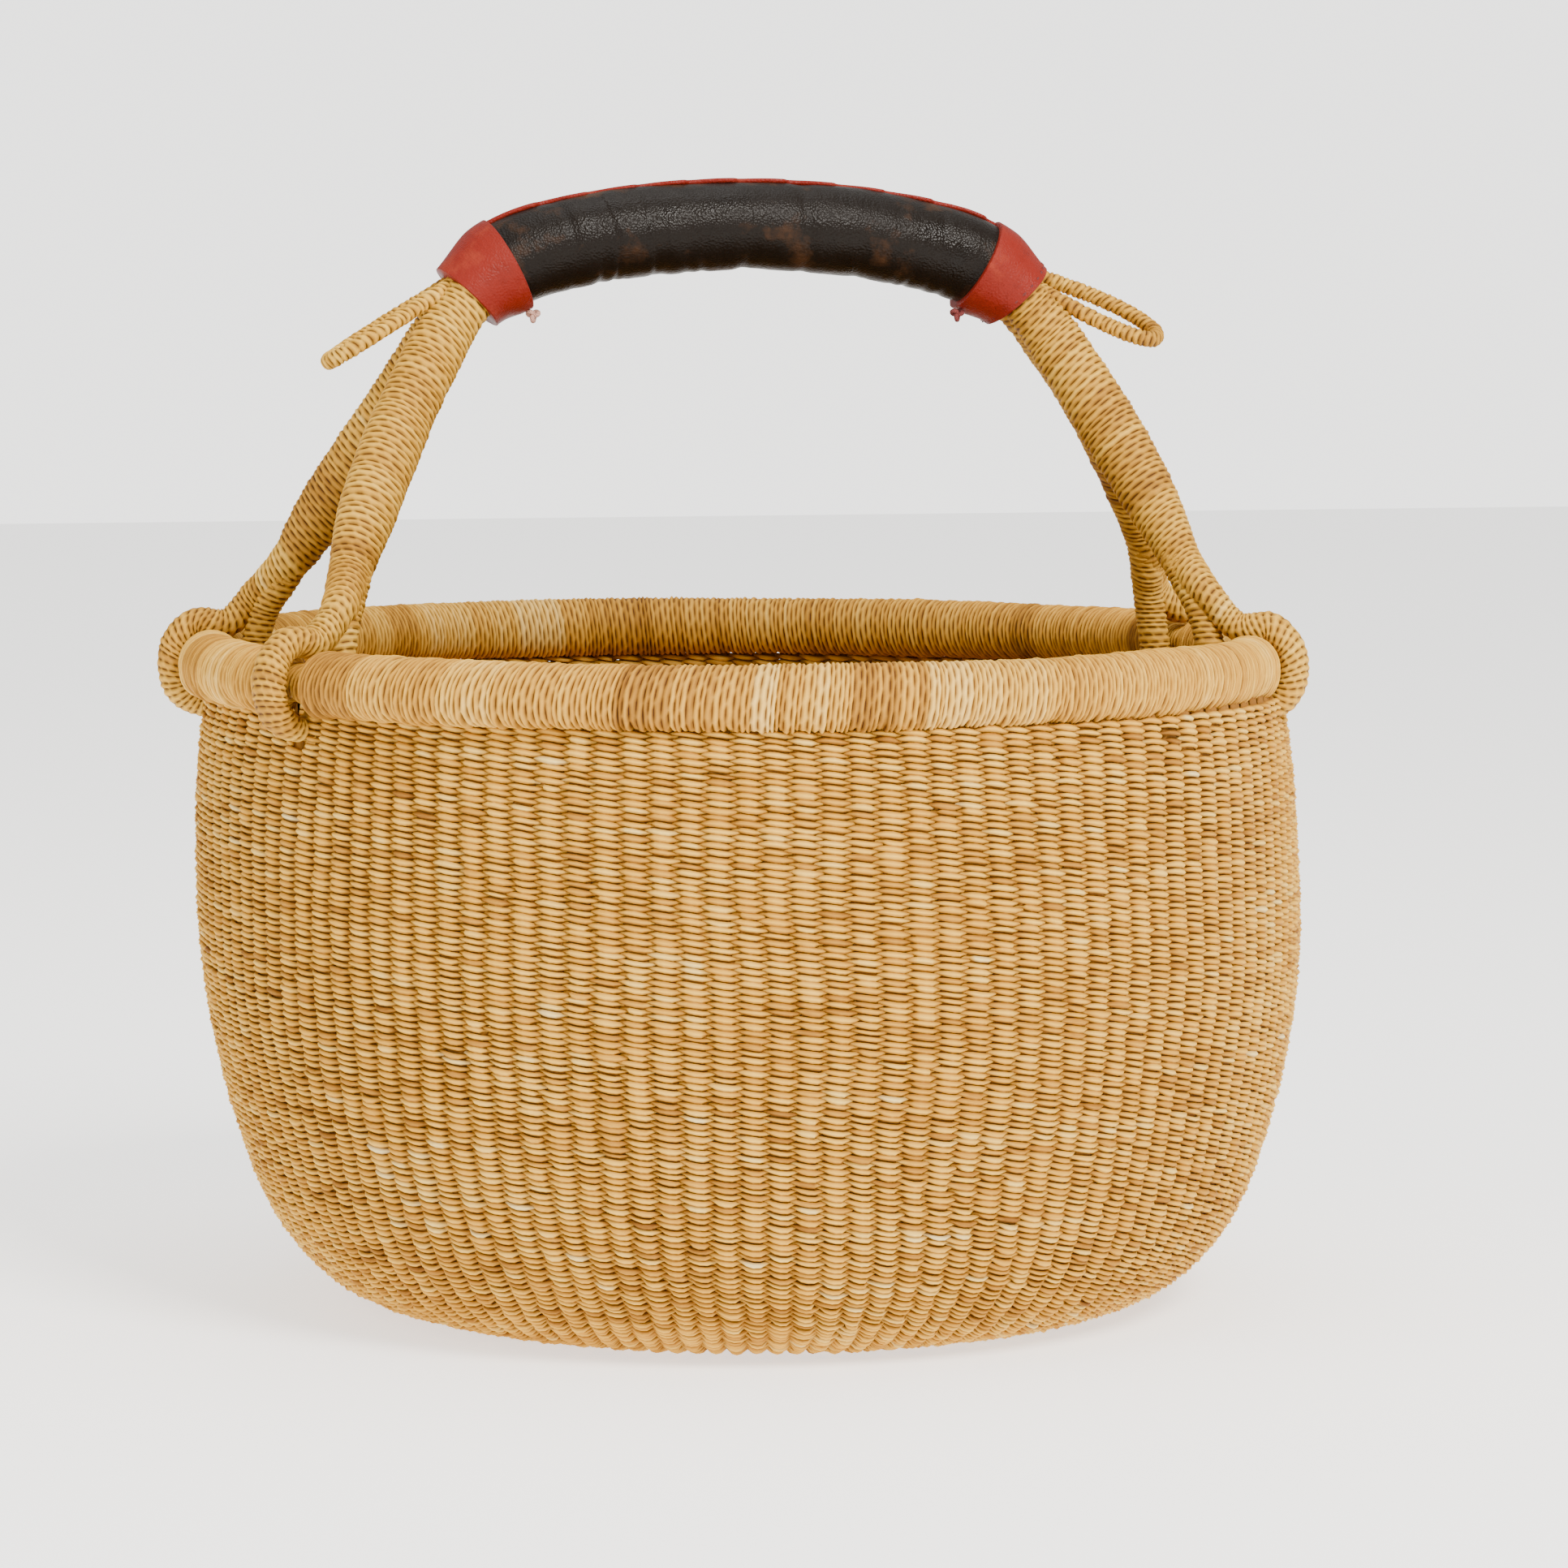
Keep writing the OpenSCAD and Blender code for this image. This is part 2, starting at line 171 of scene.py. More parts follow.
@dataclass(frozen=True)
class Line:
    """A smooth line through space, known by closely spaced points.

    Attributes:
        points: The points, in order.
    """

    points: Array

    @property
    def lengths(self) -> Array:
        """The distance along the line to each point."""
        steps = np.linalg.norm(np.diff(self.points, axis=0), axis=1)
        return np.concatenate([[0], np.cumsum(steps)])

    @property
    def length(self) -> float:
        """The whole length."""
        return float(self.lengths[-1])

    def at(self, distance: Array) -> Array:
        """Gives the place at each distance along the line.

        Args:
            distance: Distances in metres; past an end the line goes on straight.

        Returns:
            One point per distance.
        """
        lengths = self.lengths
        inside = np.stack([np.interp(distance, lengths, self.points[:, i]) for i in range(3)], -1)
        first = unit(self.points[1] - self.points[0])
        last = unit(self.points[-1] - self.points[-2])
        before = np.minimum(distance, 0)[..., None]
        after = np.maximum(distance - lengths[-1], 0)[..., None]
        return inside + before * first + after * last

    def heading(self, distance: Array) -> Array:
        """Gives the direction of the line at each distance.

        Args:
            distance: Distances in metres.

        Returns:
            One unit vector per distance.
        """
        return unit(self.at(distance + HEADING_REACH) - self.at(distance - HEADING_REACH))

    @staticmethod
    def through(knots: list[Array]) -> "Line":
        """Draws a smooth line through a few points, with KNOT_STEPS pieces between neighbours.

        Args:
            knots: The points, in order.

        Returns:
            The line.
        """
        spots = np.array([2 * knots[0] - knots[1], *knots, 2 * knots[-1] - knots[-2]])
        t = np.linspace(0, 1, KNOT_STEPS, endpoint=False)[:, None]
        parts = []
        for a, b, c, d in zip(spots, spots[1:], spots[2:], spots[3:]):
            parts.append(0.5 * (2 * b + (c - a) * t + (2 * a - 5 * b + 4 * c - d) * t * t
                                + (3 * b - a - 3 * c + d) * t ** 3))
        return Line(np.concatenate([*parts, [knots[-1]]]))


@dataclass
class RolledSheet:
    """Flat grids that are rolled up into tubes, one strip of grid per tube.

    Attributes:
        name: The piece's name.
        lengthwise: Faces along a tube.
        around: Faces round a tube.
        strips: How many tubes the piece holds.
    """

    name: str
    lengthwise: int
    around: int
    strips: int = 1

    def build(self, place: Placer, cut: Callable[[Vector], bool] | None = None) -> bpy.types.Object:
        """Rolls the grids up.

        Args:
            place: Gives the points and the marks of a strip from the distance along it and the
                turn round it, both from 0 to 1, and the strip's number.
            cut: Says whether the face with this middle is left out.

        Returns:
            The finished object, at the origin.
        """
        grid = bmesh.new()
        grid.loops.layers.uv.new("UVMap")
        for strip in range(self.strips):
            bmesh.ops.create_grid(
                grid, x_segments=self.lengthwise, y_segments=self.around, size=0.5,
                matrix=Matrix.Translation((0.5, 2 * strip + 0.5, 0)), calc_uvs=True)
        mesh = bpy.data.meshes.new(self.name)
        grid.to_mesh(mesh)
        grid.free()
        flat = np.empty(3 * len(mesh.vertices), np.float32)
        mesh.vertices.foreach_get("co", flat)
        flat = flat.reshape(-1, 3).astype(float)
        strip = np.floor(flat[:, 1] / 2 + SEAM_NUDGE)
        points, marks = place(flat[:, 0], flat[:, 1] - 2 * strip, strip.astype(int))
        mesh.vertices.foreach_set("co", points.astype(np.float32).ravel())
        for mark, values in marks.items():
            layer = mesh.attributes.new(mark, "FLOAT", "POINT")
            layer.data.foreach_set("value", values.astype(np.float32))
        self.weld(mesh, cut)
        return new_object(self.name, mesh)

    def weld(self, mesh: bpy.types.Mesh, cut: Callable[[Vector], bool] | None) -> None:
        """Joins the seams, closes the ends and turns the faces outwards.

        Args:
            mesh: The rolled mesh, changed in place.
            cut: Says whether the face with this middle is left out.
        """
        tube = bmesh.new()
        tube.from_mesh(mesh)
        bmesh.ops.remove_doubles(tube, verts=tube.verts, dist=WELD)
        if cut:
            gone = [f for f in tube.faces if cut(f.calc_center_median())]
            bmesh.ops.delete(tube, geom=gone, context="FACES")
        ends = [e for e in tube.edges if e.is_boundary]
        bmesh.ops.holes_fill(tube, edges=ends, sides=0)
        if tube.calc_volume(signed=True) < 0:
            bmesh.ops.reverse_faces(tube, faces=tube.faces)
        tube.to_mesh(mesh)
        tube.free()
        mesh.shade_smooth()


def joined(name: str, pieces: list[bpy.types.Object]) -> bpy.types.Object:
    """Joins several pieces into one object.

    Args:
        name: The name of the result.
        pieces: The pieces; they're used up.

    Returns:
        The joined object, with the first piece's material.
    """
    whole = bmesh.new()
    for piece in pieces:
        whole.from_mesh(piece.data)
    mesh = bpy.data.meshes.new(name)
    whole.to_mesh(mesh)
    whole.free()
    for material in pieces[0].data.materials:
        mesh.materials.append(material)
    for piece in pieces:
        bpy.data.objects.remove(piece)
    mesh.shade_smooth()
    return new_object(name, mesh)


def dress(piece: bpy.types.Object, material: bpy.types.Material, body: Body, slot: str,
          *nodes: str) -> bpy.types.Object:
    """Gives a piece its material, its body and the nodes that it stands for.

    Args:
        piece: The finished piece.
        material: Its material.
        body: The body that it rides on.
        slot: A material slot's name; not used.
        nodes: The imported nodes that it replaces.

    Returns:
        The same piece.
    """
    piece.data.materials.clear()
    piece.data.materials.append(material)
    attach(piece, body.value)
    if nodes:
        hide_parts(*nodes)
    LOG.info("%s: %d faces on %s", piece.name, len(piece.data.polygons), body.value)
    return piece


# ---------------------------------------------------------------- finishes


class Shader:
    """A short way to write a material's node tree."""

    def __init__(self, name: str) -> None:
        """Starts a material with an empty surface shader.

        Args:
            name: The material's name.
        """
        self.material = bpy.data.materials.new(name)
        self.material.use_nodes = True
        self.tree = self.material.node_tree
        self.surface = self.tree.nodes["Principled BSDF"]

    def add(self, kind: str, inputs: dict[str, object] | None = None, **settings: object) -> bpy.types.Node:
        """Adds a node.

        Args:
            kind: The node's type, such as TexNoise.
            inputs: Values or sockets for its inputs.
            settings: Its own properties.

        Returns:
            The node.
        """
        node = self.tree.nodes.new("ShaderNode" + kind)
        for name, value in settings.items():
            setattr(node, name, value)
        for name, value in (inputs or {}).items():
            socket = node.inputs[int(name)] if name.isdigit() else node.inputs[name]
            self.join(value, socket)
        return node

    def join(self, value: object, socket: bpy.types.NodeSocket) -> None:
        """Puts a value on a socket, or links another socket to it.

        Args:
            value: A number, a colour or an output socket.
            socket: The input.
        """
        if isinstance(value, bpy.types.NodeSocket):
            self.tree.links.new(value, socket)
        else:
            socket.default_value = value

    def mark(self, name: str) -> bpy.types.NodeSocket:
        """Reads one of the mesh's own marks."""
        return self.add("Attribute", attribute_name=name).outputs["Fac"]

    def place(self) -> bpy.types.NodeSocket:
        """Reads the object's own coordinates."""
        return self.add("TexCoord").outputs["Object"]

    def sheet(self, along: float, across: float) -> bpy.types.NodeSocket:
        """Reads the piece's UV map, stretched along and across the strand."""
        spot = self.add("TexCoord").outputs["UV"]
        return self.add("Mapping", {"Vector": spot, "Scale": (along, across, 1)}).outputs[0]

    def noise(self, where: bpy.types.NodeSocket, scale: float, detail: float = 3,
              rough: float = 0.55) -> bpy.types.NodeSocket:
        """Adds a noise texture.

        Args:
            where: The coordinates that it reads.
            scale: Its scale.
            detail: Its octaves.
            rough: How strong the finer octaves are.

        Returns:
            The noise's value.
        """
        return self.add("TexNoise", {"Vector": where, "Scale": scale, "Detail": detail,
                                     "Roughness": rough}).outputs["Fac"]

    def sums(self, operation: str, first: object, second: object,
             third: object = 0.0) -> bpy.types.NodeSocket:
        """Adds a math node and gives its result."""
        return self.add("Math", {"0": first, "1": second, "2": third},
                        operation=operation).outputs[0]

    def ramp(self, factor: object, stops: tuple[tuple[float, Colour], ...]) -> bpy.types.NodeSocket:
        """Maps a value to colours.

        Args:
            factor: The value.
            stops: Places from 0 to 1, each with its colour.

        Returns:
            The colour.
        """
        node = self.add("ValToRGB", {"Fac": factor})
        scale = node.color_ramp.elements
        while len(scale) < len(stops):
            scale.new(0.5)
        for element, (spot, colour) in zip(scale, stops):
            element.position = spot
            element.color = (*colour, 1)
        return node.outputs["Color"]

    def blend(self, factor: object, first: object, second: object,
              mode: str = "MIX") -> bpy.types.NodeSocket:
        """Blends two colours.

        Args:
            factor: How much of the second.
            first: A colour or its socket.
            second: A colour or its socket.
            mode: The blending mode.

        Returns:
            The blended colour.
        """
        node = self.add("Mix", data_type="RGBA", blend_type=mode)
        for socket, value in ((node.inputs[0], factor), (node.inputs[6], first),
                              (node.inputs[7], second)):
            self.join((*value, 1) if isinstance(value, tuple) else value, socket)
        return node.outputs[2]

    def bump(self, height: object, strength: float, distance: float,
             under: bpy.types.NodeSocket | None = None) -> bpy.types.NodeSocket:
        """Adds a bump.

        Args:
            height: The height value.
            strength: From 0 to 1.
            distance: The height of one, in metres.
            under: Another bump's normal, which this one adds to.

        Returns:
            The normal.
        """
        node = self.add("Bump", {"Height": height, "Strength": strength, "Distance": distance})
        if under:
            self.join(under, node.inputs["Normal"])
        return node.outputs["Normal"]

    def finish(self, **inputs: object) -> bpy.types.Material:
        """Sets the surface shader's inputs.

        Args:
            inputs: Values or sockets, with spaces in the names written as underscores.

        Returns:
            The material.
        """
        for name, value in inputs.items():
            self.join(value, self.surface.inputs[name.replace("_", " ")])
        return self.material


@dataclass(frozen=True)
class StrawFinish:
    """Dry twisted straw, in strands of many tones, with painted shade multiplied in from the shade mark.

    Attributes:
        name: The material's name.
        tones: The strands' colours, from the darkest to the palest.
        groove_shade: The painted shade colour, multiplied in where the shade mark is low, most at the
            bottom of the grooves.
        fibres: Fibres along and across one strand's UV map.
        roughness: How matte it is.
        fibre_tone: How much the fibres change the tone.
        patch_tone: How much the patches change it.
        shine: How strongly it reflects.
    """

    name: str
    tones: tuple[tuple[float, Colour], ...]
    groove_shade: Colour
    fibres: tuple[float, float]
    roughness: float = 0.66
    fibre_tone: float = 0.34
    patch_tone: float = 0.42
    shine: float = 0.14

    def make(self) -> bpy.types.Material:
        """Builds the material."""
        shader = Shader(self.name)
        fibre = shader.noise(shader.sheet(*self.fibres), 1.0, 4, 0.6)
        patch = shader.noise(shader.place(), 22, 3)
        tone = shader.sums("MULTIPLY_ADD", fibre, self.fibre_tone, shader.mark("tone"))
        tone = shader.sums("MULTIPLY_ADD", patch, self.patch_tone, tone)
        usual = (self.fibre_tone + self.patch_tone) / 2
        colour = shader.ramp(shader.sums("SUBTRACT", tone, usual), self.tones)
        # Painted shade: the colour is multiplied towards the groove shade colour where the shade mark is
        # low.
        lit = shader.mark("shade")
        colour = shader.blend(shader.sums("SUBTRACT", 1.0, lit), colour, self.groove_shade, "MULTIPLY")
        normal = shader.bump(fibre, 0.55, 0.5 * MM)
        return shader.finish(Base_Color=colour, Roughness=self.roughness, Normal=normal,
                             Specular_IOR_Level=self.shine)


# The single colour after each finish's tones is its painted shade colour.
WEAVE_STRAW = StrawFinish(
    "weave_straw",
    ((0.0, (0.30, 0.120, 0.012)), (0.22, (0.54, 0.250, 0.024)), (0.45, (0.78, 0.405, 0.040)),
     (0.68, (0.90, 0.520, 0.072)), (0.86, (0.93, 0.620, 0.140)), (1.0, (0.95, 0.750, 0.320))),
    (0.16, 0.055, 0.010), (150, 14))
RIM_STRAW = StrawFinish(
    "rim_straw",
    ((0.0, (0.28, 0.115, 0.010)), (0.25, (0.43, 0.195, 0.018)), (0.5, (0.62, 0.305, 0.030)),
     (0.75, (0.75, 0.415, 0.058)), (1.0, (0.86, 0.550, 0.140))),
    (0.11, 0.036, 0.007), (620, 9))
LEG_STRAW = StrawFinish(
    "leg_straw",
    ((0.0, (0.28, 0.115, 0.010)), (0.25, (0.44, 0.205, 0.018)), (0.5, (0.62, 0.320, 0.030)),
     (0.75, (0.75, 0.430, 0.055)), (1.0, (0.88, 0.590, 0.160))),
    (0.09, 0.030, 0.006), (130, 9))
CORE_STRAW = StrawFinish(
    "stake_straw",
    ((0.0, (0.20, 0.08, 0.012)), (0.5, (0.38, 0.18, 0.030)), (1.0, (0.52, 0.29, 0.07))),
    (0.5, 0.35, 0.2), (20, 20), 0.75)


@dataclass(frozen=True)
class LeatherFinish:
    """Smooth worn leather, with a fine grain, rubbed patches and painted shade in its creases.

    Attributes:
        name: The material's name.
        deep: The darkest patches' colour, also painted into the creases as shade.
        main: The main colour.
        worn: The colour of the rubbed patches.
        gloss: The roughness where it is polished, and where it is dull.
        shine: How strongly it reflects.
        patch: The scale of the patches.
    """

    name: str
    deep: Colour
    main: Colour
    worn: Colour
    gloss: tuple[float, float]
    shine: float
    patch: float = 38

    def make(self) -> bpy.types.Material:
        """Builds the material."""
        shader = Shader(self.name)
        where = shader.place()
        patch = shader.noise(where, self.patch, 5, 0.62)
        crease = shader.noise(shader.sheet(34, 3), 1.6, 5, 0.6)
        grain = shader.add("TexVoronoi", {"Vector": where, "Scale": 1300.0}).outputs["Distance"]
        rubbed = shader.ramp(patch, ((0.0, self.deep), (0.42, self.main), (0.54, self.main),
                                     (0.72, self.worn)))
        # Painted shade: darkens the colour towards deep in the creases.
        colour = shader.blend(shader.sums("MULTIPLY", shader.sums("SUBTRACT", 1.0, crease), 0.55),
                              rubbed, self.deep)
        dull = shader.add("MapRange", {"Value": patch, "From Min": 0.3, "From Max": 0.7,
                                       "To Min": self.gloss[0], "To Max": self.gloss[1]}).outputs[0]
        normal = shader.bump(grain, 0.45, 0.35 * MM)
        normal = shader.bump(crease, 0.25, 0.9 * MM, normal)
        normal = shader.bump(patch, 0.35, 1.2 * MM, normal)
        return shader.finish(Base_Color=colour, Roughness=dull, Normal=normal,
                             Specular_IOR_Level=self.shine)


DARK_LEATHER = LeatherFinish("dark_leather", (0.003, 0.002, 0.0015), (0.008, 0.005, 0.003),
                             (0.080, 0.032, 0.011), (0.20, 0.52), 0.12)
RED_LEATHER = LeatherFinish("red_leather", (0.09, 0.006, 0.003), (0.21, 0.014, 0.007),
                            (0.30, 0.036, 0.016), (0.32, 0.60), 0.14, 90)


@dataclass(frozen=True)
class ThreadFinish:
    """Twisted cotton thread.

    Attributes:
        name: The material's name.
        colour: The thread's colour.
        shade: The colour between its plies.
    """

    name: str
    colour: Colour
    shade: Colour

    def make(self) -> bpy.types.Material:
        """Builds the material."""
        shader = Shader(self.name)
        ply = shader.add("TexWave", {"Vector": shader.sheet(26, 3), "Scale": 1.0},
                         bands_direction="DIAGONAL").outputs["Fac"]
        colour = shader.blend(ply, self.shade, self.colour)
        return shader.finish(Base_Color=colour, Roughness=0.8, Normal=shader.bump(ply, 0.6, 0.2 * MM))


PINK_THREAD = ThreadFinish("pink_thread", (0.62, 0.36, 0.28), (0.36, 0.17, 0.12))
RED_THREAD = ThreadFinish("red_thread", (0.22, 0.03, 0.025), (0.08, 0.01, 0.01))


@dataclass(frozen=True)
class FloorFinish:
    """The plain pale floor, which glows a little so that it stays as pale as the wall.

    Attributes:
        name: The material's name.
        colour: The floor's colour.
        tint: The colour of its glow.
        glow: The strength of its glow.
    """

    name: str = "pale_floor"
    colour: Colour = (0.86, 0.855, 0.84)
    tint: Colour = (1, 0.99, 0.97)
    glow: float = 1.3

    def make(self) -> bpy.types.Material:
        """Builds the material."""
        shader = Shader(self.name)
        return shader.finish(Base_Color=(*self.colour, 1), Roughness=0.9, Specular_IOR_Level=0.1,
                             Emission_Color=(*self.tint, 1), Emission_Strength=self.glow)


# ---------------------------------------------------------------- the bowl

COLUMN_RIPPLE = Ripple(31, most_lobes=12)
COLUMN_DRIFT = 0.10


@dataclass
class Bowl:
    """The bowl's shape: four arcs turned round the axis, then leaned and dented as by hand.

    Attributes:
        foot_r: Radius of the arc between the base and the wall.
        hip_r: Radius of the next arc.
        side_r: Radius of the arc up to the belly.
        shoulder_r: Radius of the arc above the belly.
        foot_end: Slope where the foot arc ends, in degrees.
        hip_end: Slope where the hip arc ends, in degrees.
        lean_foot: How far the foot stands to the right of the rim's middle.
        lean_top: The same at the top of the wall.
        fullness: How far the top of the wall swells out.
        tuck: How far the top rows go in under the rim.
        foot_pinch: How far the edge of the base is drawn in.
        foot_lift: How far the edge of the base stands off the ground.
        clearance: Keeps the proudest straws of the base above the ground.
        sway_depth: How far the rows wander up and down.
        dent_depth: How deep the dents are.
        slack: How far the weave is drawn in all over the wall.
        foot_run: The length of wall over which the foot goes over into the wall's own shape.
        belly_r: The radius of the belly.
        top: The height where the wall ends under the rim.
        weave_t: The thickness of the weave.
        base_r: The radius of the flat base.
        dents: The pattern of the dents.
        sway: The pattern of the rows' wandering.
    """

    foot_r: float = 42 * MM
    hip_r: float = 110 * MM
    side_r: float = 290 * MM
    shoulder_r: float = 450 * MM
    foot_end: float = 52
    hip_end: float = 72
    lean_foot: float = 8 * MM
    lean_top: float = 4.5 * MM
    fullness: float = 1.6 * MM
    tuck: float = 2.6 * MM
    foot_pinch: float = 3.6 * MM
    foot_lift: float = 0.6 * MM
    clearance: float = 0.7 * MM
    sway_depth: float = 1.3 * MM
    dent_depth: float = 0.9 * MM
    slack: float = 0.8 * MM
    foot_run: float = 60 * MM
    belly_r: float = field(init=False)
    top: float = field(init=False)
    weave_t: float = field(init=False)
    base_r: float = field(init=False)
    dents: Ripple = field(init=False)
    sway: Ripple = field(init=False)

    def __post_init__(self) -> None:
        """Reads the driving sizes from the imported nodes."""
        low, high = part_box("wall_weft_side")
        self.belly_r = (high.y - low.y) / 2
        self.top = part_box("wall_weft_shoulder")[1].z
        self.weave_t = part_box("base_weft")[1].z
        foot = math.sin(math.radians(self.foot_end))
        hip = math.sin(math.radians(self.hip_end))
        self.base_r = (self.belly_r - self.foot_r * foot - self.hip_r * (hip - foot)
                       - self.side_r * (1 - hip))
        self.dents = Ripple(11, waves=10, most_lobes=5, longest=0.5, shortest=0.12)
        self.sway = Ripple(12, waves=8, most_lobes=6, longest=0.6, shortest=0.15)

    @property
    def arcs(self) -> list[tuple[float, float, float]]:
        """Each arc's radius, first slope and last slope, in radians."""
        rise = self.belly_height
        last = math.pi / 2 + math.asin((self.top - rise) / self.shoulder_r)
        foot, hip = math.radians(self.foot_end), math.radians(self.hip_end)
        return [(self.foot_r, 0, foot), (self.hip_r, foot, hip), (self.side_r, hip, math.pi / 2),
                (self.shoulder_r, math.pi / 2, last)]

    @property
    def belly_height(self) -> float:
        """The height of the belly."""
        foot = math.cos(math.radians(self.foot_end))
        hip = math.cos(math.radians(self.hip_end))
        return self.foot_r * (1 - foot) + self.hip_r * (foot - hip) + self.side_r * hip

    @property
    def wall_length(self) -> float:
        """The length of the wall's outline, from the base up to the rim."""
        return sum(r * (b - a) for r, a, b in self.arcs) + self.tuck

    def outline(self, run: Array, depth: Array) -> tuple[Array, Array]:
        """Gives the radius and height of a point of the perfect bowl.

        Args:
            run: The length along the outline from the edge of the base; negative on the base.
            depth: How far in from the outer surface.

        Returns:
            The radius and the height.
        """
        slope = np.zeros_like(run)
        radius = self.base_r + np.minimum(run, 0)
        height = np.zeros_like(run)
        left = np.maximum(run, 0)
        for index, (bend, first, last) in enumerate(self.arcs):
            full = bend * (last - first)
            part = left if index == len(self.arcs) - 1 else np.minimum(left, full)
            end = first + part / bend
            radius = radius + bend * (np.sin(end) - math.sin(first))
            height = height + bend * (math.cos(first) - np.cos(end))
            slope = np.where(part > 0, end, slope)
            left = left - part
        return radius - depth * np.sin(slope), height + depth * np.cos(slope)

    def place(self, angle: Array, run: Array, depth: Array) -> Array:
        """Gives the place of a point of the hand-made bowl.

        Args:
            angle: The angle round the axis, in radians.
            run: The length along the outline from the edge of the base.
            depth: How far in from the outer surface.

        Returns:
            One point per row.
        """
        wall = smooth(0, self.foot_run, run)
        below_rim = smooth(0, 30 * MM, self.wall_length - run)
        wavy = run + wall * self.sway_depth * self.sway.at(angle, run * 0.4) * below_rim
        radius, height = self.outline(wavy, depth)
        swell = self.fullness * smooth(150 * MM, 210 * MM, height)
        radius = radius + wall * (self.dent_depth * self.dents.at(angle, run) + swell - self.slack)
        foot = smooth(-80 * MM, 0, run) * (1 - smooth(15 * MM, self.foot_run, run))
        radius = radius - self.foot_pinch * foot
        height = height + self.foot_lift * foot * smooth(-45 * MM, 5 * MM, run)
        height = height + self.clearance * (1 - wall)
        lean = self.lean_foot + (self.lean_top - self.lean_foot) * height / self.top
        return np.stack([radius * np.cos(angle) + lean, radius * np.sin(angle), height], -1)


@dataclass
class TwinedRows:
    """Rows of twining: two strands per row that twist round each other between the stakes.

    Attributes:
        bowl: The bowl's shape.
        name: The piece's name.
        first: The first row's place along the outline.
        rows: How many rows.
        pitch: The distance between rows.
        columns: Stakes that the strands pass, an even number.
        seed: Seeds the unevenness.
        rise: Half of how far a strand climbs as it twists.
        half_width: Half of a strand's width.
        half_depth: Half of a strand's thickness.
        sides: Faces round a strand.
        steps: Faces along a strand from stake to stake.
        waist: A strand's width between two stakes, as a share of its usual width.
        spread: How much wider it is where it passes over a stake.
        arch: The power of its path from stake to stake; under 1 is flatter over the stake.
        lift_spread: How unevenly the strands lie up and down.
        sink_spread: How unevenly they lie in and out.
        shove_spread: How unevenly they cross between two stakes, as a share of a column.
    """

    bowl: Bowl
    name: str
    first: float
    rows: int
    pitch: float
    columns: int
    seed: int
    rise: float = 0.5 * MM
    half_width: float = 1.0 * MM
    half_depth: float = 1.15 * MM
    sides: int = 5
    steps: int = 4
    waist: float = 0.74
    spread: float = 0.40
    arch: float = 0.62
    lift_spread: float = 0.17 * MM
    sink_spread: float = 0.18 * MM
    shove_spread: float = 0.07

    def build(self, cut: Callable[[Vector], bool] | None = None) -> bpy.types.Object:
        """Builds the rows.

        Args:
            cut: Says whether the face with this middle is left out.

        Returns:
            The piece.
        """
        sheet = RolledSheet(self.name, self.columns * self.steps, self.sides, 2 * self.rows)
        return sheet.build(self.place, cut)

    def place(self, along: Array, turn: Array, strip: Array) -> tuple[Array, Marks]:
        """Places the strands' points.

        Args:
            along: The distance along a strand, from 0 to 1.
            turn: The turn round it, from 0 to 1.
            strip: The strand's number.

        Returns:
            The points, and the marks tone and shade.
        """
        draw = np.random.default_rng(self.seed)
        size = (2 * self.rows, self.columns)
        lift, sink, swell, tint, shove = (draw.normal(size=size) for _ in range(5))
        run_tint = self.straw_runs(draw, size)
        column = along * self.columns
        nearest = np.rint(column).astype(int) % self.columns
        row, strand = strip // 2, 1 - 2 * (strip % 2)
        spin = FULL_TURN * (turn + 0.25)
        beat = np.cos(math.pi * column)
        over = np.abs(beat)
        climb = np.sin(math.pi * column)
        swelling = 1 + 0.11 * swell[strip, nearest]
        width = self.half_width * (self.waist + self.spread * over) * swelling
        reach = self.bowl.weave_t / 2 - self.half_depth
        swing = np.sign(beat) * over ** self.arch
        depth = (self.bowl.weave_t / 2 - strand * reach * swing
                 - self.half_depth * np.sin(spin) * swelling
                 + self.sink_spread * sink[strip, nearest] * over)
        run = (self.first + (row + 0.5) * self.pitch - strand * self.rise * climb
               + width * np.cos(spin) + self.lift_spread * lift[strip, nearest] * over)
        gap = np.floor(column + SEAM_NUDGE).astype(int) % self.columns
        drift = (COLUMN_DRIFT * COLUMN_RIPPLE.at(FULL_TURN * along, run)
                 + self.shove_spread * shove[2 * row, gap] * (1 - over))
        points = self.bowl.place(FULL_TURN * (column + drift) / self.columns, run, depth)
        tone = 0.50 + 0.10 * run_tint[strip, nearest] + 0.11 * tint[strip, nearest]
        # Painted shade: darker at the strands' edges and where they dive between stakes.
        shade = self.light(over, np.abs(np.sin(spin)))
        return points, {"tone": tone, "shade": shade}

    @staticmethod
    def light(over: Array, proud: Array) -> Array:
        """Gives how light a strand is, with painted shade in its grooves and where it dives between stakes.

        Args:
            over: How far the strand is over a stake, from 0 to 1.
            proud: How far a point is from the strand's edges, from 0 to 1.

        Returns:
            A shade from 0 to 1.
        """
        return np.clip((0.58 + 0.42 * over ** 0.5) * (0.03 + 0.97 * proud ** 0.95), 0, 1)

    @staticmethod
    def straw_runs(draw: np.random.Generator, size: tuple[int, int]) -> Array:
        """Gives each strand stretches of one tone, where a new straw was laid in.

        Args:
            draw: The random source.
            size: Strands and columns.

        Returns:
            A tone for each strand and column, about -1 to 1.
        """
        tones = np.empty(size)
        for strand in tones:
            spot = 0
            while spot < size[1]:
                stretch = int(draw.integers(5, 30))
                strand[spot:spot + stretch] = draw.normal()
                spot += stretch
        return tones


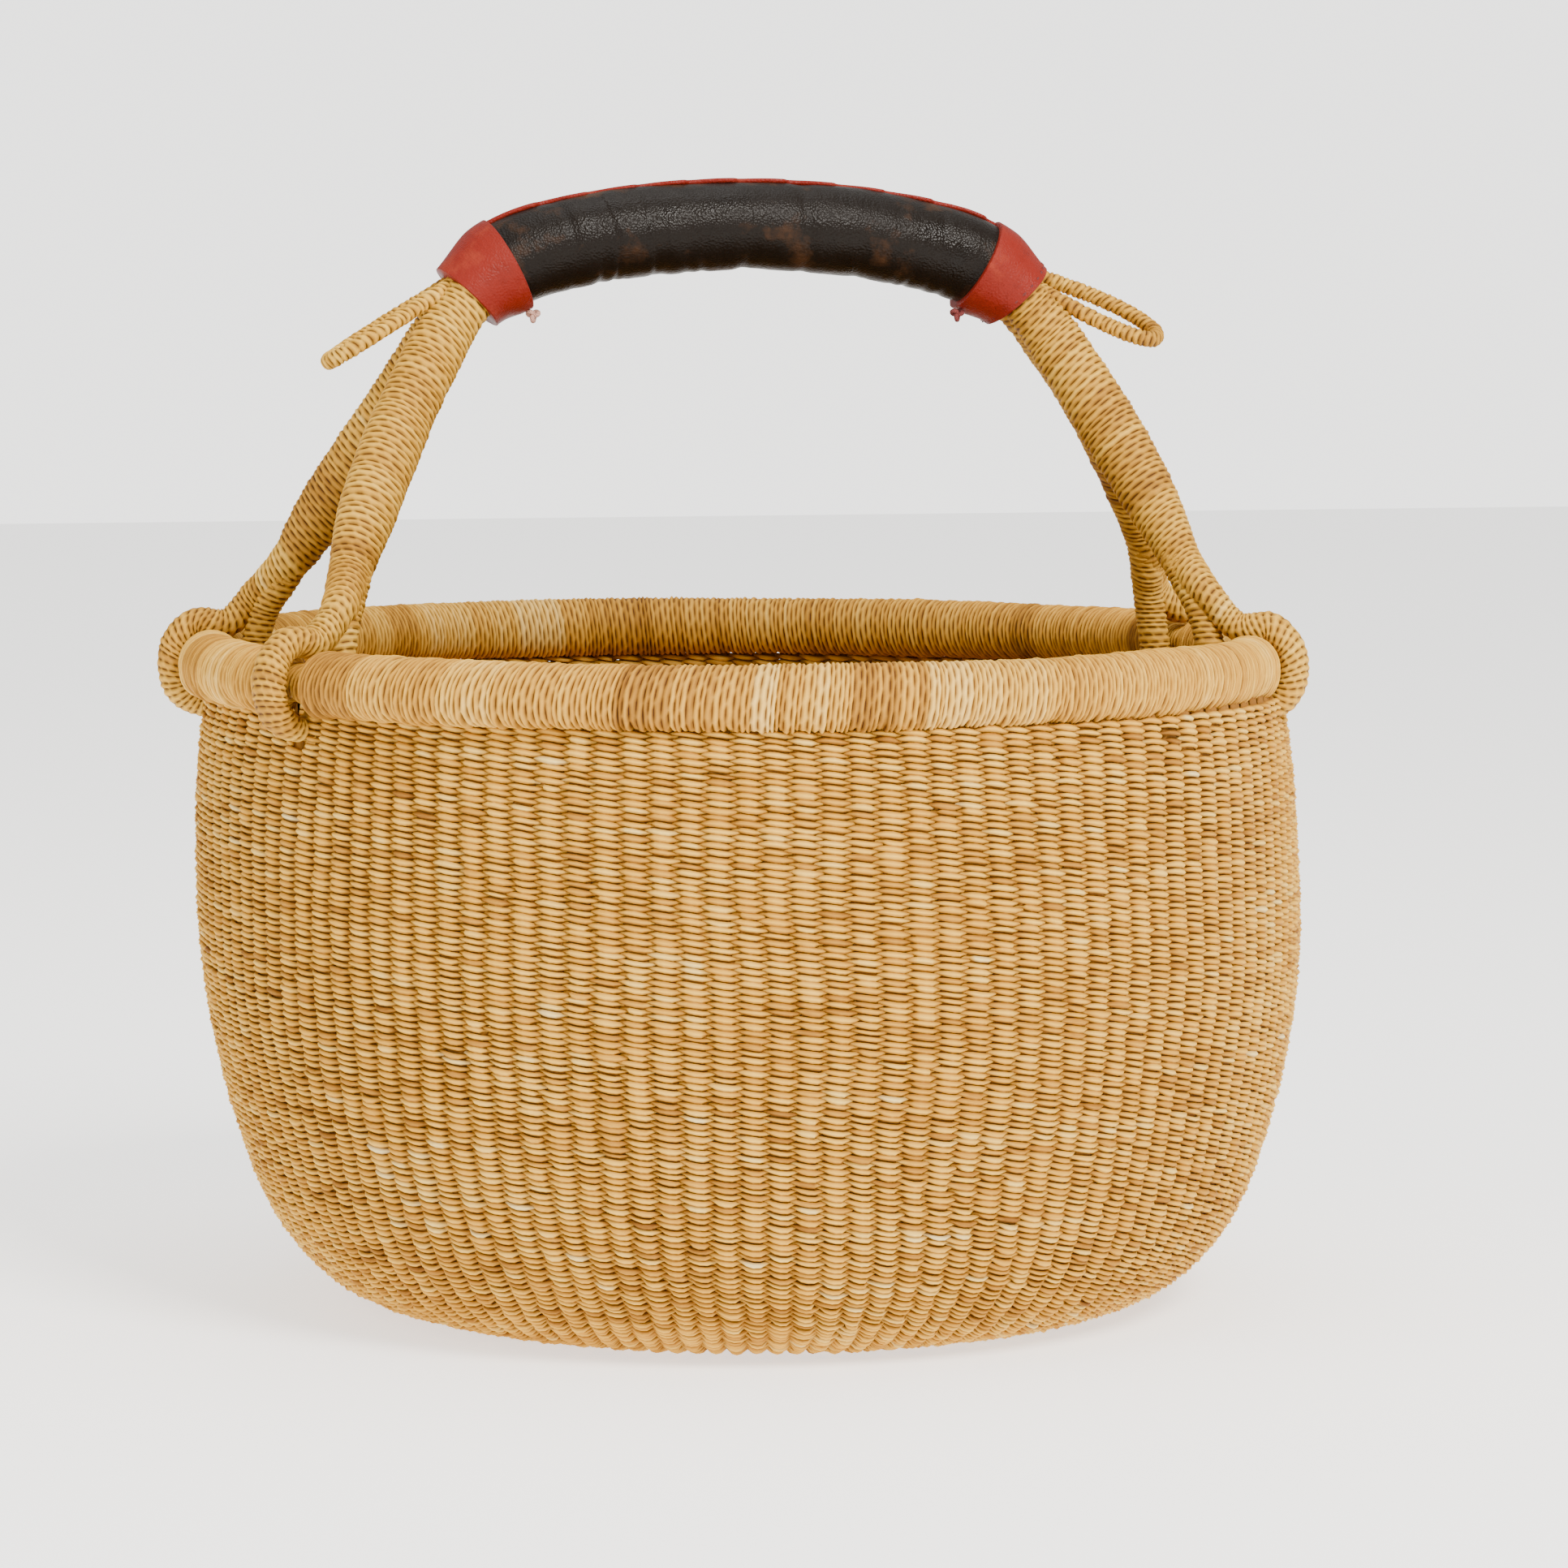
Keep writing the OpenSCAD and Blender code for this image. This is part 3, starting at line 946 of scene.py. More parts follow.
@dataclass
class Stakes:
    """Flat straw stakes that the strands are twined round.

    Attributes:
        bowl: The bowl's shape.
        columns: Columns of the wall's weave.
        rings: Faces along a stake.
        sides: Faces round a stake.
        share: Half of a stake's width, as a share of its column.
        least: The least half width, near the middle of the base.
        half_depth: Half of its thickness.
        past_end: How far it goes on into the rim.
    """

    bowl: Bowl
    columns: int
    rings: int = 30
    sides: int = 6
    share: float = 0.43
    least: float = 1.2 * MM
    half_depth: float = 0.75 * MM
    past_end: float = 4 * MM

    def build(self, name: str, spots: list[int], start: float,
              cut: Callable[[Vector], bool]) -> bpy.types.Object:
        """Builds some of the stakes.

        Args:
            name: The piece's name.
            spots: The columns that they stand in.
            start: Where they start along the outline.
            cut: Says whether the face with this middle is left out.

        Returns:
            The piece.
        """
        columns = np.array(spots)
        end = self.bowl.wall_length + self.past_end
        column = FULL_TURN / self.columns

        def place(along: Array, turn: Array, strip: Array) -> tuple[Array, Marks]:
            run = start + (end - start) * along
            middle = column * columns[strip]
            radius, _ = self.bowl.outline(run, np.zeros_like(run))
            half = self.share * column * np.minimum(1, 0.3 + 0.7 * radius / self.bowl.base_r)
            half = np.maximum(half, self.least / radius)
            spin = FULL_TURN * turn
            depth = self.bowl.weave_t / 2 + self.half_depth * np.sin(spin)
            drift = COLUMN_DRIFT * COLUMN_RIPPLE.at(middle, run) * column
            points = self.bowl.place(middle + drift + half * np.cos(spin), run, depth)
            tones = 0.35 + 0.3 * ((columns[strip] * 7) % 5) / 5
            # The stakes get an even painted shade; their tones differ from column to column.
            return points, {"tone": tones, "shade": np.full_like(along, 0.55)}

        return RolledSheet(name, self.rings, self.sides, len(spots)).build(place, cut)


# ---------------------------------------------------------------- wrapped strands


@dataclass
class Wrapping:
    """Straw wound closely round a line.

    Attributes:
        name: The piece's name.
        line: The middle line.
        across: The direction of the section's width.
        half: Gives the section's half width and half thickness at each share of the line.
        pitch: The width of one turn of straw.
        ridge: How proud one turn stands.
        tilt: How far a turn is tilted, along and across the section.
        seed: Seeds the unevenness.
        closed: Whether the line is a closed ring.
        around: Faces round the section.
        steps: Faces along one turn of straw.
        flat: The power of the section's shape; 2 is an ellipse.
        plies: Twists of the straw in one turn.
        fringe: How far the turns stick out under a rim.
        patchy: How much the tone changes from one straw to the next.
        fade: The share of an open line over which the tilt fades out at each end.
        fringe_side: The turn round the section where the fringe is, as a share of half a turn.
        turns: How many turns of straw there are.
    """

    name: str
    line: Line
    across: Array
    half: Section
    pitch: float
    ridge: float
    tilt: tuple[float, float]
    seed: int
    closed: bool = False
    around: int = 28
    steps: int = 4
    flat: float = 2.2
    plies: int = 7
    fringe: float = 0.0
    patchy: float = 0.12
    fade: float = 0.06
    fringe_side: float = 1.22
    turns: int = field(init=False)

    def __post_init__(self) -> None:
        """Counts the turns of straw."""
        self.turns = max(3, round(self.line.length / self.pitch))

    def build(self) -> bpy.types.Object:
        """Builds the wrapping."""
        return RolledSheet(self.name, self.turns * self.steps, self.around).build(self.place)

    def sway(self, share: Array) -> Array:
        """Gives the slow change of the tilt along the line, for each share of it."""
        return 1 + 0.25 * np.cos(FULL_TURN * (3 * share + 0.1 * self.seed))

    def place(self, along: Array, turn: Array, _: Array) -> tuple[Array, Marks]:
        """Places the wrapping's points.

        Args:
            along: The distance along the line, from 0 to 1.
            turn: The turn round it, from 0 to 1.

        Returns:
            The points, and the marks tone and shade.
        """
        draw = np.random.default_rng(self.seed)
        widths = draw.uniform(0.7, 1.3, self.turns)
        starts = np.concatenate([[0], np.cumsum(widths)]) / widths.sum()
        count = along * self.turns
        index = np.minimum(np.floor(count + SEAM_NUDGE).astype(int), self.turns - 1)
        within = np.clip(count - index, 0, 1)
        share = starts[index] + within * (starts[index + 1] - starts[index])
        spin = FULL_TURN * turn
        wide, thick = np.cos(spin), np.sin(spin)
        slide = self.sway(share) * (self.tilt[0] * thick + self.tilt[1] * wide)
        if self.closed:
            spot = (share * self.line.length + slide) % self.line.length
            share = spot / self.line.length
            heading = self.ring_heading(spot)
        else:
            inner = smooth(0, self.fade, share) * smooth(0, self.fade, 1 - share)
            spot = share * self.line.length + slide * inner
            heading = self.line.heading(spot)
        out = unit(np.cross(self.across, heading))
        side = np.cross(heading, out)
        half_wide, half_thick = self.half(share)
        proud = draw.normal(size=self.turns) * 0.16 * self.ridge
        phase = np.cumsum(draw.uniform(0.6, 1.4, self.turns)) * math.pi
        border = np.rint(count).astype(int) % self.turns
        twist = 0.5 + 0.5 * np.cos(self.plies * spin + phase[border])
        edge = 1 - np.sin(math.pi * within)
        dash = edge * (0.45 + 0.70 * smooth(0.02, 0.6, twist))
        relief = proud[index] * (1 - edge) - self.ridge * dash
        tufts = self.fringe * draw.uniform(0, 1, self.turns)[index]
        relief += tufts * np.maximum(np.cos(spin - self.fringe_side * math.pi), 0) ** 6
        power = 2 / self.flat
        wide = np.sign(wide) * np.abs(wide) ** power * (half_wide + relief)
        thick = np.sign(thick) * np.abs(thick) ** power * (half_thick + relief)
        points = self.line.at(spot) + side * wide[:, None] + out * thick[:, None]
        tones = self.tones(draw)[index] - 0.08 * (twist - 0.5)
        # The shade mark paints shade into the dark dashes between the turns of straw.
        return points, {"tone": tones, "shade": np.clip(1.05 - 1.15 * dash, 0, 1)}

    def ring_heading(self, spot: Array) -> Array:
        """Gives the direction of a closed line at each distance, across its seam as well."""
        ahead = (spot + HEADING_REACH) % self.line.length
        behind = (spot - HEADING_REACH) % self.line.length
        return unit(self.line.at(ahead) - self.line.at(behind))

    def tones(self, draw: np.random.Generator) -> Array:
        """Draws a tone for each turn of straw, in groups where one straw is wound on.

        Args:
            draw: The random source.

        Returns:
            One tone per turn.
        """
        groups = np.empty(self.turns)
        spot = 0
        while spot < self.turns:
            stretch = int(draw.integers(4, 16))
            groups[spot:spot + stretch] = draw.normal()
            spot += stretch
        return 0.5 + self.patchy * groups + 0.09 * draw.normal(size=self.turns)


def steady(half: float) -> Section:
    """Gives a round section that stays the same along a line.

    Args:
        half: Half of its thickness.

    Returns:
        A function of the share along the line.
    """
    return lambda share: (np.full_like(share, half), np.full_like(share, half))


# ---------------------------------------------------------------- the basket's own pieces


@dataclass
class Rim:
    """The rim: straw wound round a bundle, in patches of tone.

    Attributes:
        pitch: The width of one turn of straw.
        pinch: How far a fork of the handle pulls it in.
        fringe: How far its turns stick out below.
        bulge: How far the rim swells out beside a fork.
        bundle_half: Half of the thickness of the bundle inside.
        ring_r: The radius of the rim's middle line.
        height: The height of that line.
        half: Half of the rim's thickness.
    """

    pitch: float = 1.85 * MM
    pinch: float = 4.3 * MM
    fringe: float = 1.5 * MM
    bulge: float = 0.35 * MM
    bundle_half: float = 8.4 * MM
    ring_r: float = field(init=False)
    height: float = field(init=False)
    half: float = field(init=False)

    def __post_init__(self) -> None:
        """Reads the rim's sizes from its node."""
        low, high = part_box("rim_wrap")
        self.half = (high.z - low.z) / 2
        self.height = (high.z + low.z) / 2
        self.ring_r = (high.x - low.x) / 2 - self.half

    def winding(self, name: str, half: float, pitch: float, ridge: float, grips: list[Array],
                around: int, fringe: float) -> Wrapping:
        """Winds straw round the rim's line, pulled in where the handle's forks grip it.

        Args:
            name: The piece's name.
            half: Half of its thickness.
            pitch: The width of one turn of straw.
            ridge: How proud one turn stands.
            grips: The middles of the forks.
            around: Faces round the section.
            fringe: How far the turns stick out below.

        Returns:
            The wrapping, ready to build.
        """
        angle = np.linspace(0, FULL_TURN, 721)
        ring = np.stack([self.ring_r * np.cos(angle), self.ring_r * np.sin(angle),
                         np.full_like(angle, self.height)], -1)
        uneven = Ripple(5, waves=7, most_lobes=14)
        spots = [math.atan2(grip[1], grip[0]) for grip in grips]

        def section(share: Array) -> tuple[Array, Array]:
            turn = FULL_TURN * share
            swell = half + 0.25 * MM * uneven.at(turn, np.zeros_like(share))
            for spot in spots:
                away = np.abs((turn - spot + math.pi) % FULL_TURN - math.pi) * self.ring_r
                swell = swell - self.pinch * (1 - smooth(6.5 * MM, 13 * MM, away))
                swell = swell + self.bulge * np.exp(-((away - 16 * MM) / (5 * MM)) ** 2)
            return swell, swell

        return Wrapping(name, Line(ring), UP, section, pitch, ridge, (1.5 * MM, 1.2 * MM), 41,
                        closed=True, around=around, flat=2.0, plies=9, fringe=fringe, patchy=0.17)

    def build(self, grips: list[Array]) -> bpy.types.Object:
        """Builds the wound rim."""
        return self.winding("rim_wrapping", self.half, self.pitch, 0.95 * MM, grips, 30,
                            self.fringe).build()

    def bundle(self, grips: list[Array]) -> bpy.types.Object:
        """Builds the bundle of stake ends inside the rim."""
        return self.winding("rim_bundle", self.bundle_half, 9 * MM, 0.3 * MM, grips, 16, 0.0).build()


@dataclass
class Handle:
    """The lines and sizes of the handle.

    Attributes:
        rim: The rim that the handle's forks go round.
        crown_r: Radius of the grip's flat arc.
        crown_slope: Slope where the flat arc ends, in degrees.
        bend_r: Radius of the bend at each end of the grip.
        end_slope: Slope of the grip's ends, in degrees.
        cuff_slope: Slope where the cuffs start, in degrees.
        core_offset: Distance of an arch's bundle from the grip's middle.
        ring_gap: Free space between the rim and a ring.
        ring_slack: The same above and below the rim.
        ring_half: Half of the width and thickness of a ring's strand.
        angles: Angle round the bowl of each arch's legs, in degrees.
        headings: Direction in which each arch's rings face, in degrees.
        shift: How far the grip stands from the rim's middle, along Y.
        sleeve_r: The sleeve's outer radius.
        crown_z: Height of the grip's middle at the crown.
    """

    rim: Rim
    crown_r: float = 310 * MM
    crown_slope: float = 13
    bend_r: float = 58 * MM
    end_slope: float = 46
    cuff_slope: float = 28
    core_offset: float = 6.4 * MM
    ring_gap: float = 1.0 * MM
    ring_slack: float = 2.2 * MM
    ring_half: tuple[float, float] = (6.5 * MM, 3.6 * MM)
    angles: dict[Arch, float] = field(default_factory=lambda: {Arch.FRONT: -24, Arch.BACK: 11})
    headings: dict[Arch, float] = field(default_factory=lambda: {Arch.FRONT: -29, Arch.BACK: 13})
    shift: float = field(init=False)
    sleeve_r: float = field(init=False)
    crown_z: float = field(init=False)

    def __post_init__(self) -> None:
        """Reads the grip's place from its node."""
        low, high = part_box("grip_sleeve")
        self.shift = (low.y + high.y) / 2
        self.sleeve_r = (high.y - low.y) / 2
        self.crown_z = high.z - self.sleeve_r

    @property
    def ring_r(self) -> float:
        """The radius of a ring's middle line."""
        return self.rim.half + self.ring_gap + self.ring_half[1]

    def grip_point(self, slope: Array) -> Array:
        """Gives the grip's middle line at slopes in degrees, negative on the left."""
        slope = np.asarray(slope, float)
        turn, knee = np.radians(slope), math.radians(self.crown_slope)
        flat = np.abs(slope) <= self.crown_slope
        centre = self.crown_z - self.crown_r
        bend_x = (self.crown_r - self.bend_r) * math.sin(knee)
        bend_z = centre + (self.crown_r - self.bend_r) * math.cos(knee)
        x = np.where(flat, self.crown_r * np.sin(turn),
                     np.sign(slope) * bend_x + self.bend_r * np.sin(turn))
        z = np.where(flat, centre + self.crown_r * np.cos(turn), bend_z + self.bend_r * np.cos(turn))
        return np.stack([x, np.full_like(x, self.shift), z], -1)

    def grip_line(self, first: float, last: float) -> Line:
        """Gives the grip's middle line between two slopes in degrees."""
        return Line(self.grip_point(np.linspace(first, last, 160)))

    def facing(self, side: Side, arch: Arch) -> Array:
        """Gives the level direction in which a ring faces, outwards."""
        turn = math.radians(self.headings[arch])
        return np.array([side.value * math.cos(turn), math.sin(turn), 0])

    def ring_centre(self, side: Side, arch: Arch) -> Array:
        """Gives the middle of a ring, on the rim's middle line."""
        spot, turn = math.radians(self.angles[arch]), math.radians(self.headings[arch])
        reach = self.rim.ring_r
        leg = (reach - self.ring_r) * np.array([math.cos(spot), math.sin(spot)])
        way = np.array([math.cos(turn), math.sin(turn)])
        along = float(leg @ way)
        middle = leg + way * (math.sqrt(along * along - float(leg @ leg) + reach * reach) - along)
        return np.array([side.value * middle[0], middle[1], self.rim.height])

    def ring_point(self, side: Side, arch: Arch, turn: float, radius: float | None = None) -> Array:
        """Gives a point of a ring's middle line.

        Args:
            side: The handle's end.
            arch: The arch.
            turn: Degrees from the ring's inner side, over its top.
            radius: The ring's radius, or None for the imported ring's own.

        Returns:
            The point.
        """
        angle = np.radians(np.asarray(turn, float))
        straight = (self.ring_slack - self.ring_gap) * np.clip(3 * np.sin(angle), -1, 1)
        up = (radius or self.ring_r) * np.sin(angle) + straight
        out = -(radius or self.ring_r) * np.cos(angle)
        return (self.ring_centre(side, arch) + out[..., None] * self.facing(side, arch)
                + up[..., None] * UP)

    def leg_line(self, side: Side, arch: Arch) -> Line:
        """Gives a leg's middle line, from the grip's end down to its foot.

        Args:
            side: The handle's end.
            arch: The arch.

        Returns:
            The line.
        """
        slope = math.radians(self.end_slope)
        top = self.grip_point(self.end_slope) + arch.value * self.core_offset * BACKWARDS
        foot = self.ring_point(Side.RIGHT, arch, 0.0)
        foot[2] = self.rim.height + self.rim.half + 3 * MM
        turn = math.radians(self.headings[arch])
        down = np.array([math.cos(turn) * 0.24, arch.value * 0.6, -1])
        second = top + 20 * MM * np.array([math.cos(slope), 0, -math.sin(slope)])
        third = foot - 36 * MM * down
        t = np.linspace(0, 1, 120)[:, None]
        points = (top * (1 - t) ** 3 + second * 3 * t * (1 - t) ** 2 + third * 3 * t * t * (1 - t)
                  + foot * t ** 3)
        points[:, 0] *= side.value
        return Line(points)


@dataclass
class Leg:
    """One leg of the handle with the fork that goes round the rim.

    Attributes:
        handle: The handle's lines.
        side: The handle's end.
        arch: The arch.
        pitch: The width of one turn of straw.
        half: Half of the leg's thickness.
        strand: Half of the width and thickness of the fork's branches.
        root: The same where the inner branch leaves the leg.
        bulge: How far the back arch is bent to the right by hand.
        sag: How far the outer branch hangs below the middle of the rim.
    """

    handle: Handle
    side: Side
    arch: Arch
    pitch: float = 2.15 * MM
    half: float = 10.3 * MM
    strand: tuple[float, float] = (6.3 * MM, 5.2 * MM)
    root: tuple[float, float] = (7.4 * MM, 6.2 * MM)
    bulge: float = 5.5 * MM
    sag: float = 0.8 * MM

    @property
    def tag(self) -> str:
        """The end of the leg's node names."""
        return f"{self.arch.name}_{self.side.name}".lower()

    @property
    def seed(self) -> int:
        """A seed of the leg's own."""
        return 60 + 7 * self.side.value + 3 * self.arch.value

    @property
    def across(self) -> Array:
        """The level direction along the rim at the fork."""
        way = self.handle.facing(self.side, self.arch)
        return np.array([-way[1], way[0], 0]) * self.side.value

    @property
    def bend_r(self) -> float:
        """The radius of the branches' middle line round the rim."""
        return self.handle.ring_r + self.handle.ring_half[1] - self.strand[1]

    def bow(self, share: float) -> Array:
        """Gives how far the leg is bent aside at a share of its length."""
        bend = self.bulge * math.sin(math.pi * share ** 0.9)
        return np.array([bend if self.arch is Arch.BACK else 0.0, 0, 0])

    def around_rim(self, turns: tuple[float, ...]) -> list[Array]:
        """Gives points round the rim at turns in degrees from its inner side, over its top."""
        return [self.handle.ring_point(self.side, self.arch, turn, self.bend_r) for turn in turns]

    def slimmed(self, body: tuple[Array | float, Array | float], slim: Array,
                tuck: Array) -> tuple[Array, Array]:
        """Narrows a section down to a branch, and a little more at the branch's tip.

        Args:
            body: Half of the width and thickness where it's thickest.
            slim: How far it has gone over into the branch, from 0 to 1.
            tuck: How far it has gone over into the tip, from 0 to 1.

        Returns:
            Half of the width and thickness.
        """
        wide, thick = (size + (thin - size) * slim for size, thin in zip(body, self.strand))
        return wide * (1 - 0.25 * tuck), thick * (1 - 0.25 * tuck)

    @property
    def core_points(self) -> list[Array]:
        """Points down the middle of the leg, as far as the bundle inside it reaches."""
        leg = self.handle.leg_line(self.side, self.arch)
        return [leg.at(np.array(leg.length * share)) + self.bow(share)
                for share in np.linspace(0.04, 0.8, 14)]

    def shaft(self) -> bpy.types.Object:
        """Builds the wound leg, which goes on over the rim and curls in under it."""
        handle = self.handle
        leg = handle.leg_line(self.side, self.arch)
        way = handle.facing(self.side, self.arch)
        middle = handle.ring_centre(self.side, self.arch)
        knots = [leg.at(np.array(leg.length * share)) + self.bow(share)
                 for share in (0, 0.12, 0.25, 0.38, 0.5, 0.61, 0.72, 0.82)]
        knots += [middle + 23.0 * MM * UP - 15.5 * MM * way]
        over = len(knots)
        knots += [middle + (self.bend_r - 0.6 * MM) * UP - 6.0 * MM * way]
        knots += [spot - self.sag * UP
                  for spot in self.around_rim((108, 130, 155, 180, 205, 230, 256, 280))]
        line = Line.through(knots)
        fork = line.lengths[(over - 2) * KNOT_STEPS] / line.length
        top = line.lengths[over * KNOT_STEPS] / line.length

        def section(share: Array) -> tuple[Array, Array]:
            body = self.half - 1.6 * MM * (1 - smooth(0, 0.12, share))
            body = body - 1.5 * MM * smooth(0.3, 0.6, share)
            body = body - 0.35 * MM * np.sin(11 * share + self.seed)
            slim = smooth(fork - 0.14, top - 0.02, share)
            return self.slimmed((body, body), slim, smooth(0.93, 1.0, share))

        return Wrapping(f"leg_{self.tag}", line, self.across, section, self.pitch, 0.75 * MM,
                        (self.side.value * 1.8 * MM, 0.4 * MM), self.seed, around=40, plies=10).build()

    def inner_branch(self) -> bpy.types.Object:
        """Builds the branch that goes down inside the rim."""
        handle = self.handle
        leg = handle.leg_line(self.side, self.arch)
        way = handle.facing(self.side, self.arch)
        knots = [leg.at(np.array(leg.length * share)) + self.bow(share) - inwards * MM * way
                 for share, inwards in ((0.58, 0.0), (0.72, 1.2), (0.86, 2.2), (0.97, 1.6))]
        knots += self.around_rim((-2, -28, -56, -82))
        line = Line.through(knots)

        def section(share: Array) -> tuple[Array, Array]:
            slim = smooth(0.1, 0.55, share)
            return self.slimmed(self.root, slim, smooth(0.92, 1.0, share))

        return Wrapping(f"branch_{self.tag}", line, self.across, section, self.pitch, 0.7 * MM,
                        (self.side.value * -1.0 * MM, 0.8 * MM), self.seed + 20, around=30).build()


@dataclass
class HangingLoop:
    """A small stiff loop of wound straw under a cuff.

    Attributes:
        handle: The handle's lines.
        side: The handle's end.
        drop: Its angle below level, in degrees.
        roll: Its turn about its own length, in degrees.
        reach: Its length.
        width: Half of its width.
        half: Half of its strand's thickness.
    """

    handle: Handle
    side: Side
    drop: float
    roll: float
    reach: float = 57 * MM
    width: float = 10.0 * MM
    half: float = 2.9 * MM

    def build(self) -> bpy.types.Object:
        """Builds the loop."""
        drop, roll = math.radians(self.drop), math.radians(self.roll)
        sign = self.side.value
        along = np.array([sign * math.cos(drop), 0, -math.sin(drop)])
        up = np.array([-sign * along[2], 0, sign * along[0]])
        across = np.array([0, math.cos(roll), 0]) + up * math.sin(roll)
        root = self.handle.grip_point(sign * self.handle.end_slope) + np.array([0, 0, 8 * MM])
        spread = self.half + 0.1 * MM
        turn = np.linspace(0, math.pi, 160)[:, None]
        points = (root + along * self.reach * np.sin(turn)
                  + across * (spread * np.cos(turn) + (self.width - 0.7 * spread) * np.sin(2 * turn)))
        return Wrapping(f"hanging_loop_{self.side.name.lower()}", Line(points),
                        np.cross(along, across), steady(self.half), 2.1 * MM, 0.55 * MM,
                        (1.6 * MM, 0.5 * MM), 90 + sign, around=16, plies=3).build()


@dataclass
class Grip:
    """The leather sleeve with its lace, cuffs, stitches and knots.

    Attributes:
        handle: The handle's lines.
        leather_t: The leather's thickness.
        scallop: The length of one scallop of the lace.
        lace_t: How proud the lace is of the sleeve.
        lace_turn: Where the lace lies, in degrees from the top towards the back.
        fold_count: How many folds the sleeve has.
        stitch_count: How many stitches go round a cuff.
    """

    handle: Handle
    leather_t: float = 1.6 * MM
    scallop: float = 17 * MM
    lace_t: float = 1.2 * MM
    lace_turn: float = 16
    fold_count: int = 34
    stitch_count: int = 26

    def around(self, line: Line, distance: Array, angle: Array, radius: Array) -> Array:
        """Places points round the grip.

        Args:
            line: The grip's middle line.
            distance: Distances along it.
            angle: Degrees from the top, towards the back.
            radius: Distances from the middle line.

        Returns:
            The points.
        """
        heading = line.heading(distance)
        out = unit(np.cross(heading, BACKWARDS)) * np.sign(heading[:, :1])
        turn = np.radians(angle)
        return (line.at(distance) + out * (radius * np.cos(turn))[:, None]
                + BACKWARDS * (radius * np.sin(turn))[:, None])

    def taper(self, distance: Array, length: float, angle: Array) -> Array:
        """Gives how far the leather is pulled in round the legs near the grip's ends.

        Args:
            distance: Distances along the whole grip.
            length: The grip's length.
            angle: Degrees from the top, towards the back.

        Returns:
            Lengths to take off the radius.
        """
        end = np.minimum(distance, length - distance)
        close = 1 - smooth(0, 14 * MM, end)
        return close * (0.7 * MM + 2.2 * MM * np.cos(np.radians(angle)) ** 2)

    def sleeve(self) -> bpy.types.Object:
        """Builds the dark sleeve, with its folds across and its dents."""
        line = self.whole_line
        dents = Ripple(71, waves=10, most_lobes=3, longest=0.12, shortest=0.03)
        wander = Ripple(72, waves=5, most_lobes=2, longest=0.2, shortest=0.06)
        draw = np.random.default_rng(73)
        folds = [(draw.uniform(0.04, 0.96), draw.uniform(0.15, 0.6) * MM, draw.uniform(1.4, 3.6) * MM,
                  draw.normal(180, 60)) for _ in range(self.fold_count)]

        def place(along: Array, turn: Array, _: Array) -> tuple[Array, Marks]:
            distance = along * line.length
            angle = 360 * turn
            radius = np.full_like(along, self.handle.sleeve_r - 0.2 * MM)
            radius += 0.35 * MM * dents.at(np.radians(angle), distance)
            bent = distance + 2.2 * MM * wander.at(np.radians(angle), distance)
            for spot, deep, wide, face in folds:
                near = np.exp(-((bent - spot * line.length) / wide) ** 2)
                radius -= deep * near * (0.5 + 0.5 * np.cos(np.radians(angle - face)))
            radius -= self.taper(distance, line.length, angle)
            return self.around(line, distance, angle, radius), {}

        return RolledSheet("grip_leather", 280, 56).build(place)

    def lace(self) -> bpy.types.Object:
        """Builds the scalloped red lace on the top of the grip, towards the back."""
        reach = self.handle.cuff_slope + 1
        line = self.handle.grip_line(-reach, reach)

        def place(along: Array, turn: Array, _: Array) -> tuple[Array, Marks]:
            distance = along * line.length
            tooth = (distance / self.scallop) % 1
            wave = smooth(0, 0.75, tooth) * (1 - smooth(0.86, 1.0, tooth))
            spin = FULL_TURN * turn
            half = 13 + 9 * wave
            lift = (self.lace_t * np.maximum(np.sin(spin), 0) ** 0.5
                    + 0.5 * MM * wave * np.abs(np.cos(spin)) ** 4)
            sunk = -0.9 * MM * (np.sin(spin) < -WELD)
            radius = self.handle.sleeve_r + lift + sunk
            return self.around(line, distance, self.lace_turn + half * np.cos(spin), radius), {}

        return RolledSheet("grip_lace_strip", 300, 16).build(place)

    def cuff(self, side: Side) -> bpy.types.Object:
        """Builds a red cuff, with rolled edges and a few puckers."""
        line, start = self.cuff_line(side)
        pucker = Ripple(80 + side.value, waves=8, most_lobes=7, longest=0.05, shortest=0.015)
        whole = self.whole_line.length

        def place(along: Array, turn: Array, _: Array) -> tuple[Array, Marks]:
            edge = np.clip(np.sin(math.pi * along) * 5, 0, 1) ** 0.5
            angle = 360 * turn
            distance = line.length * (0.5 - 0.5 * np.cos(math.pi * along))
            radius = self.handle.sleeve_r - 0.6 * MM + (self.leather_t + 0.5 * MM) * edge
            radius += 0.25 * MM * pucker.at(np.radians(angle), distance) * edge
            radius -= self.taper(start + distance, whole, angle)
            return self.around(line, distance, angle, radius), {}

        return RolledSheet(f"cuff_leather_{side.name.lower()}", 40, 72).build(place)

    @property
    def whole_line(self) -> Line:
        """The grip's middle line from end to end."""
        return self.handle.grip_line(-self.handle.end_slope, self.handle.end_slope)

    def cuff_line(self, side: Side) -> tuple[Line, float]:
        """Gives a cuff's middle line, from its inner end, and where it starts along the grip."""
        first, last = self.handle.cuff_slope, self.handle.end_slope + 0.6
        line = self.handle.grip_line(side.value * first, side.value * last)
        return line, self.whole_line.length - line.length

    def stitches(self, side: Side) -> bpy.types.Object:
        """Builds the row of stitches at a cuff's outer end."""
        line, start = self.cuff_line(side)
        whole = self.whole_line.length

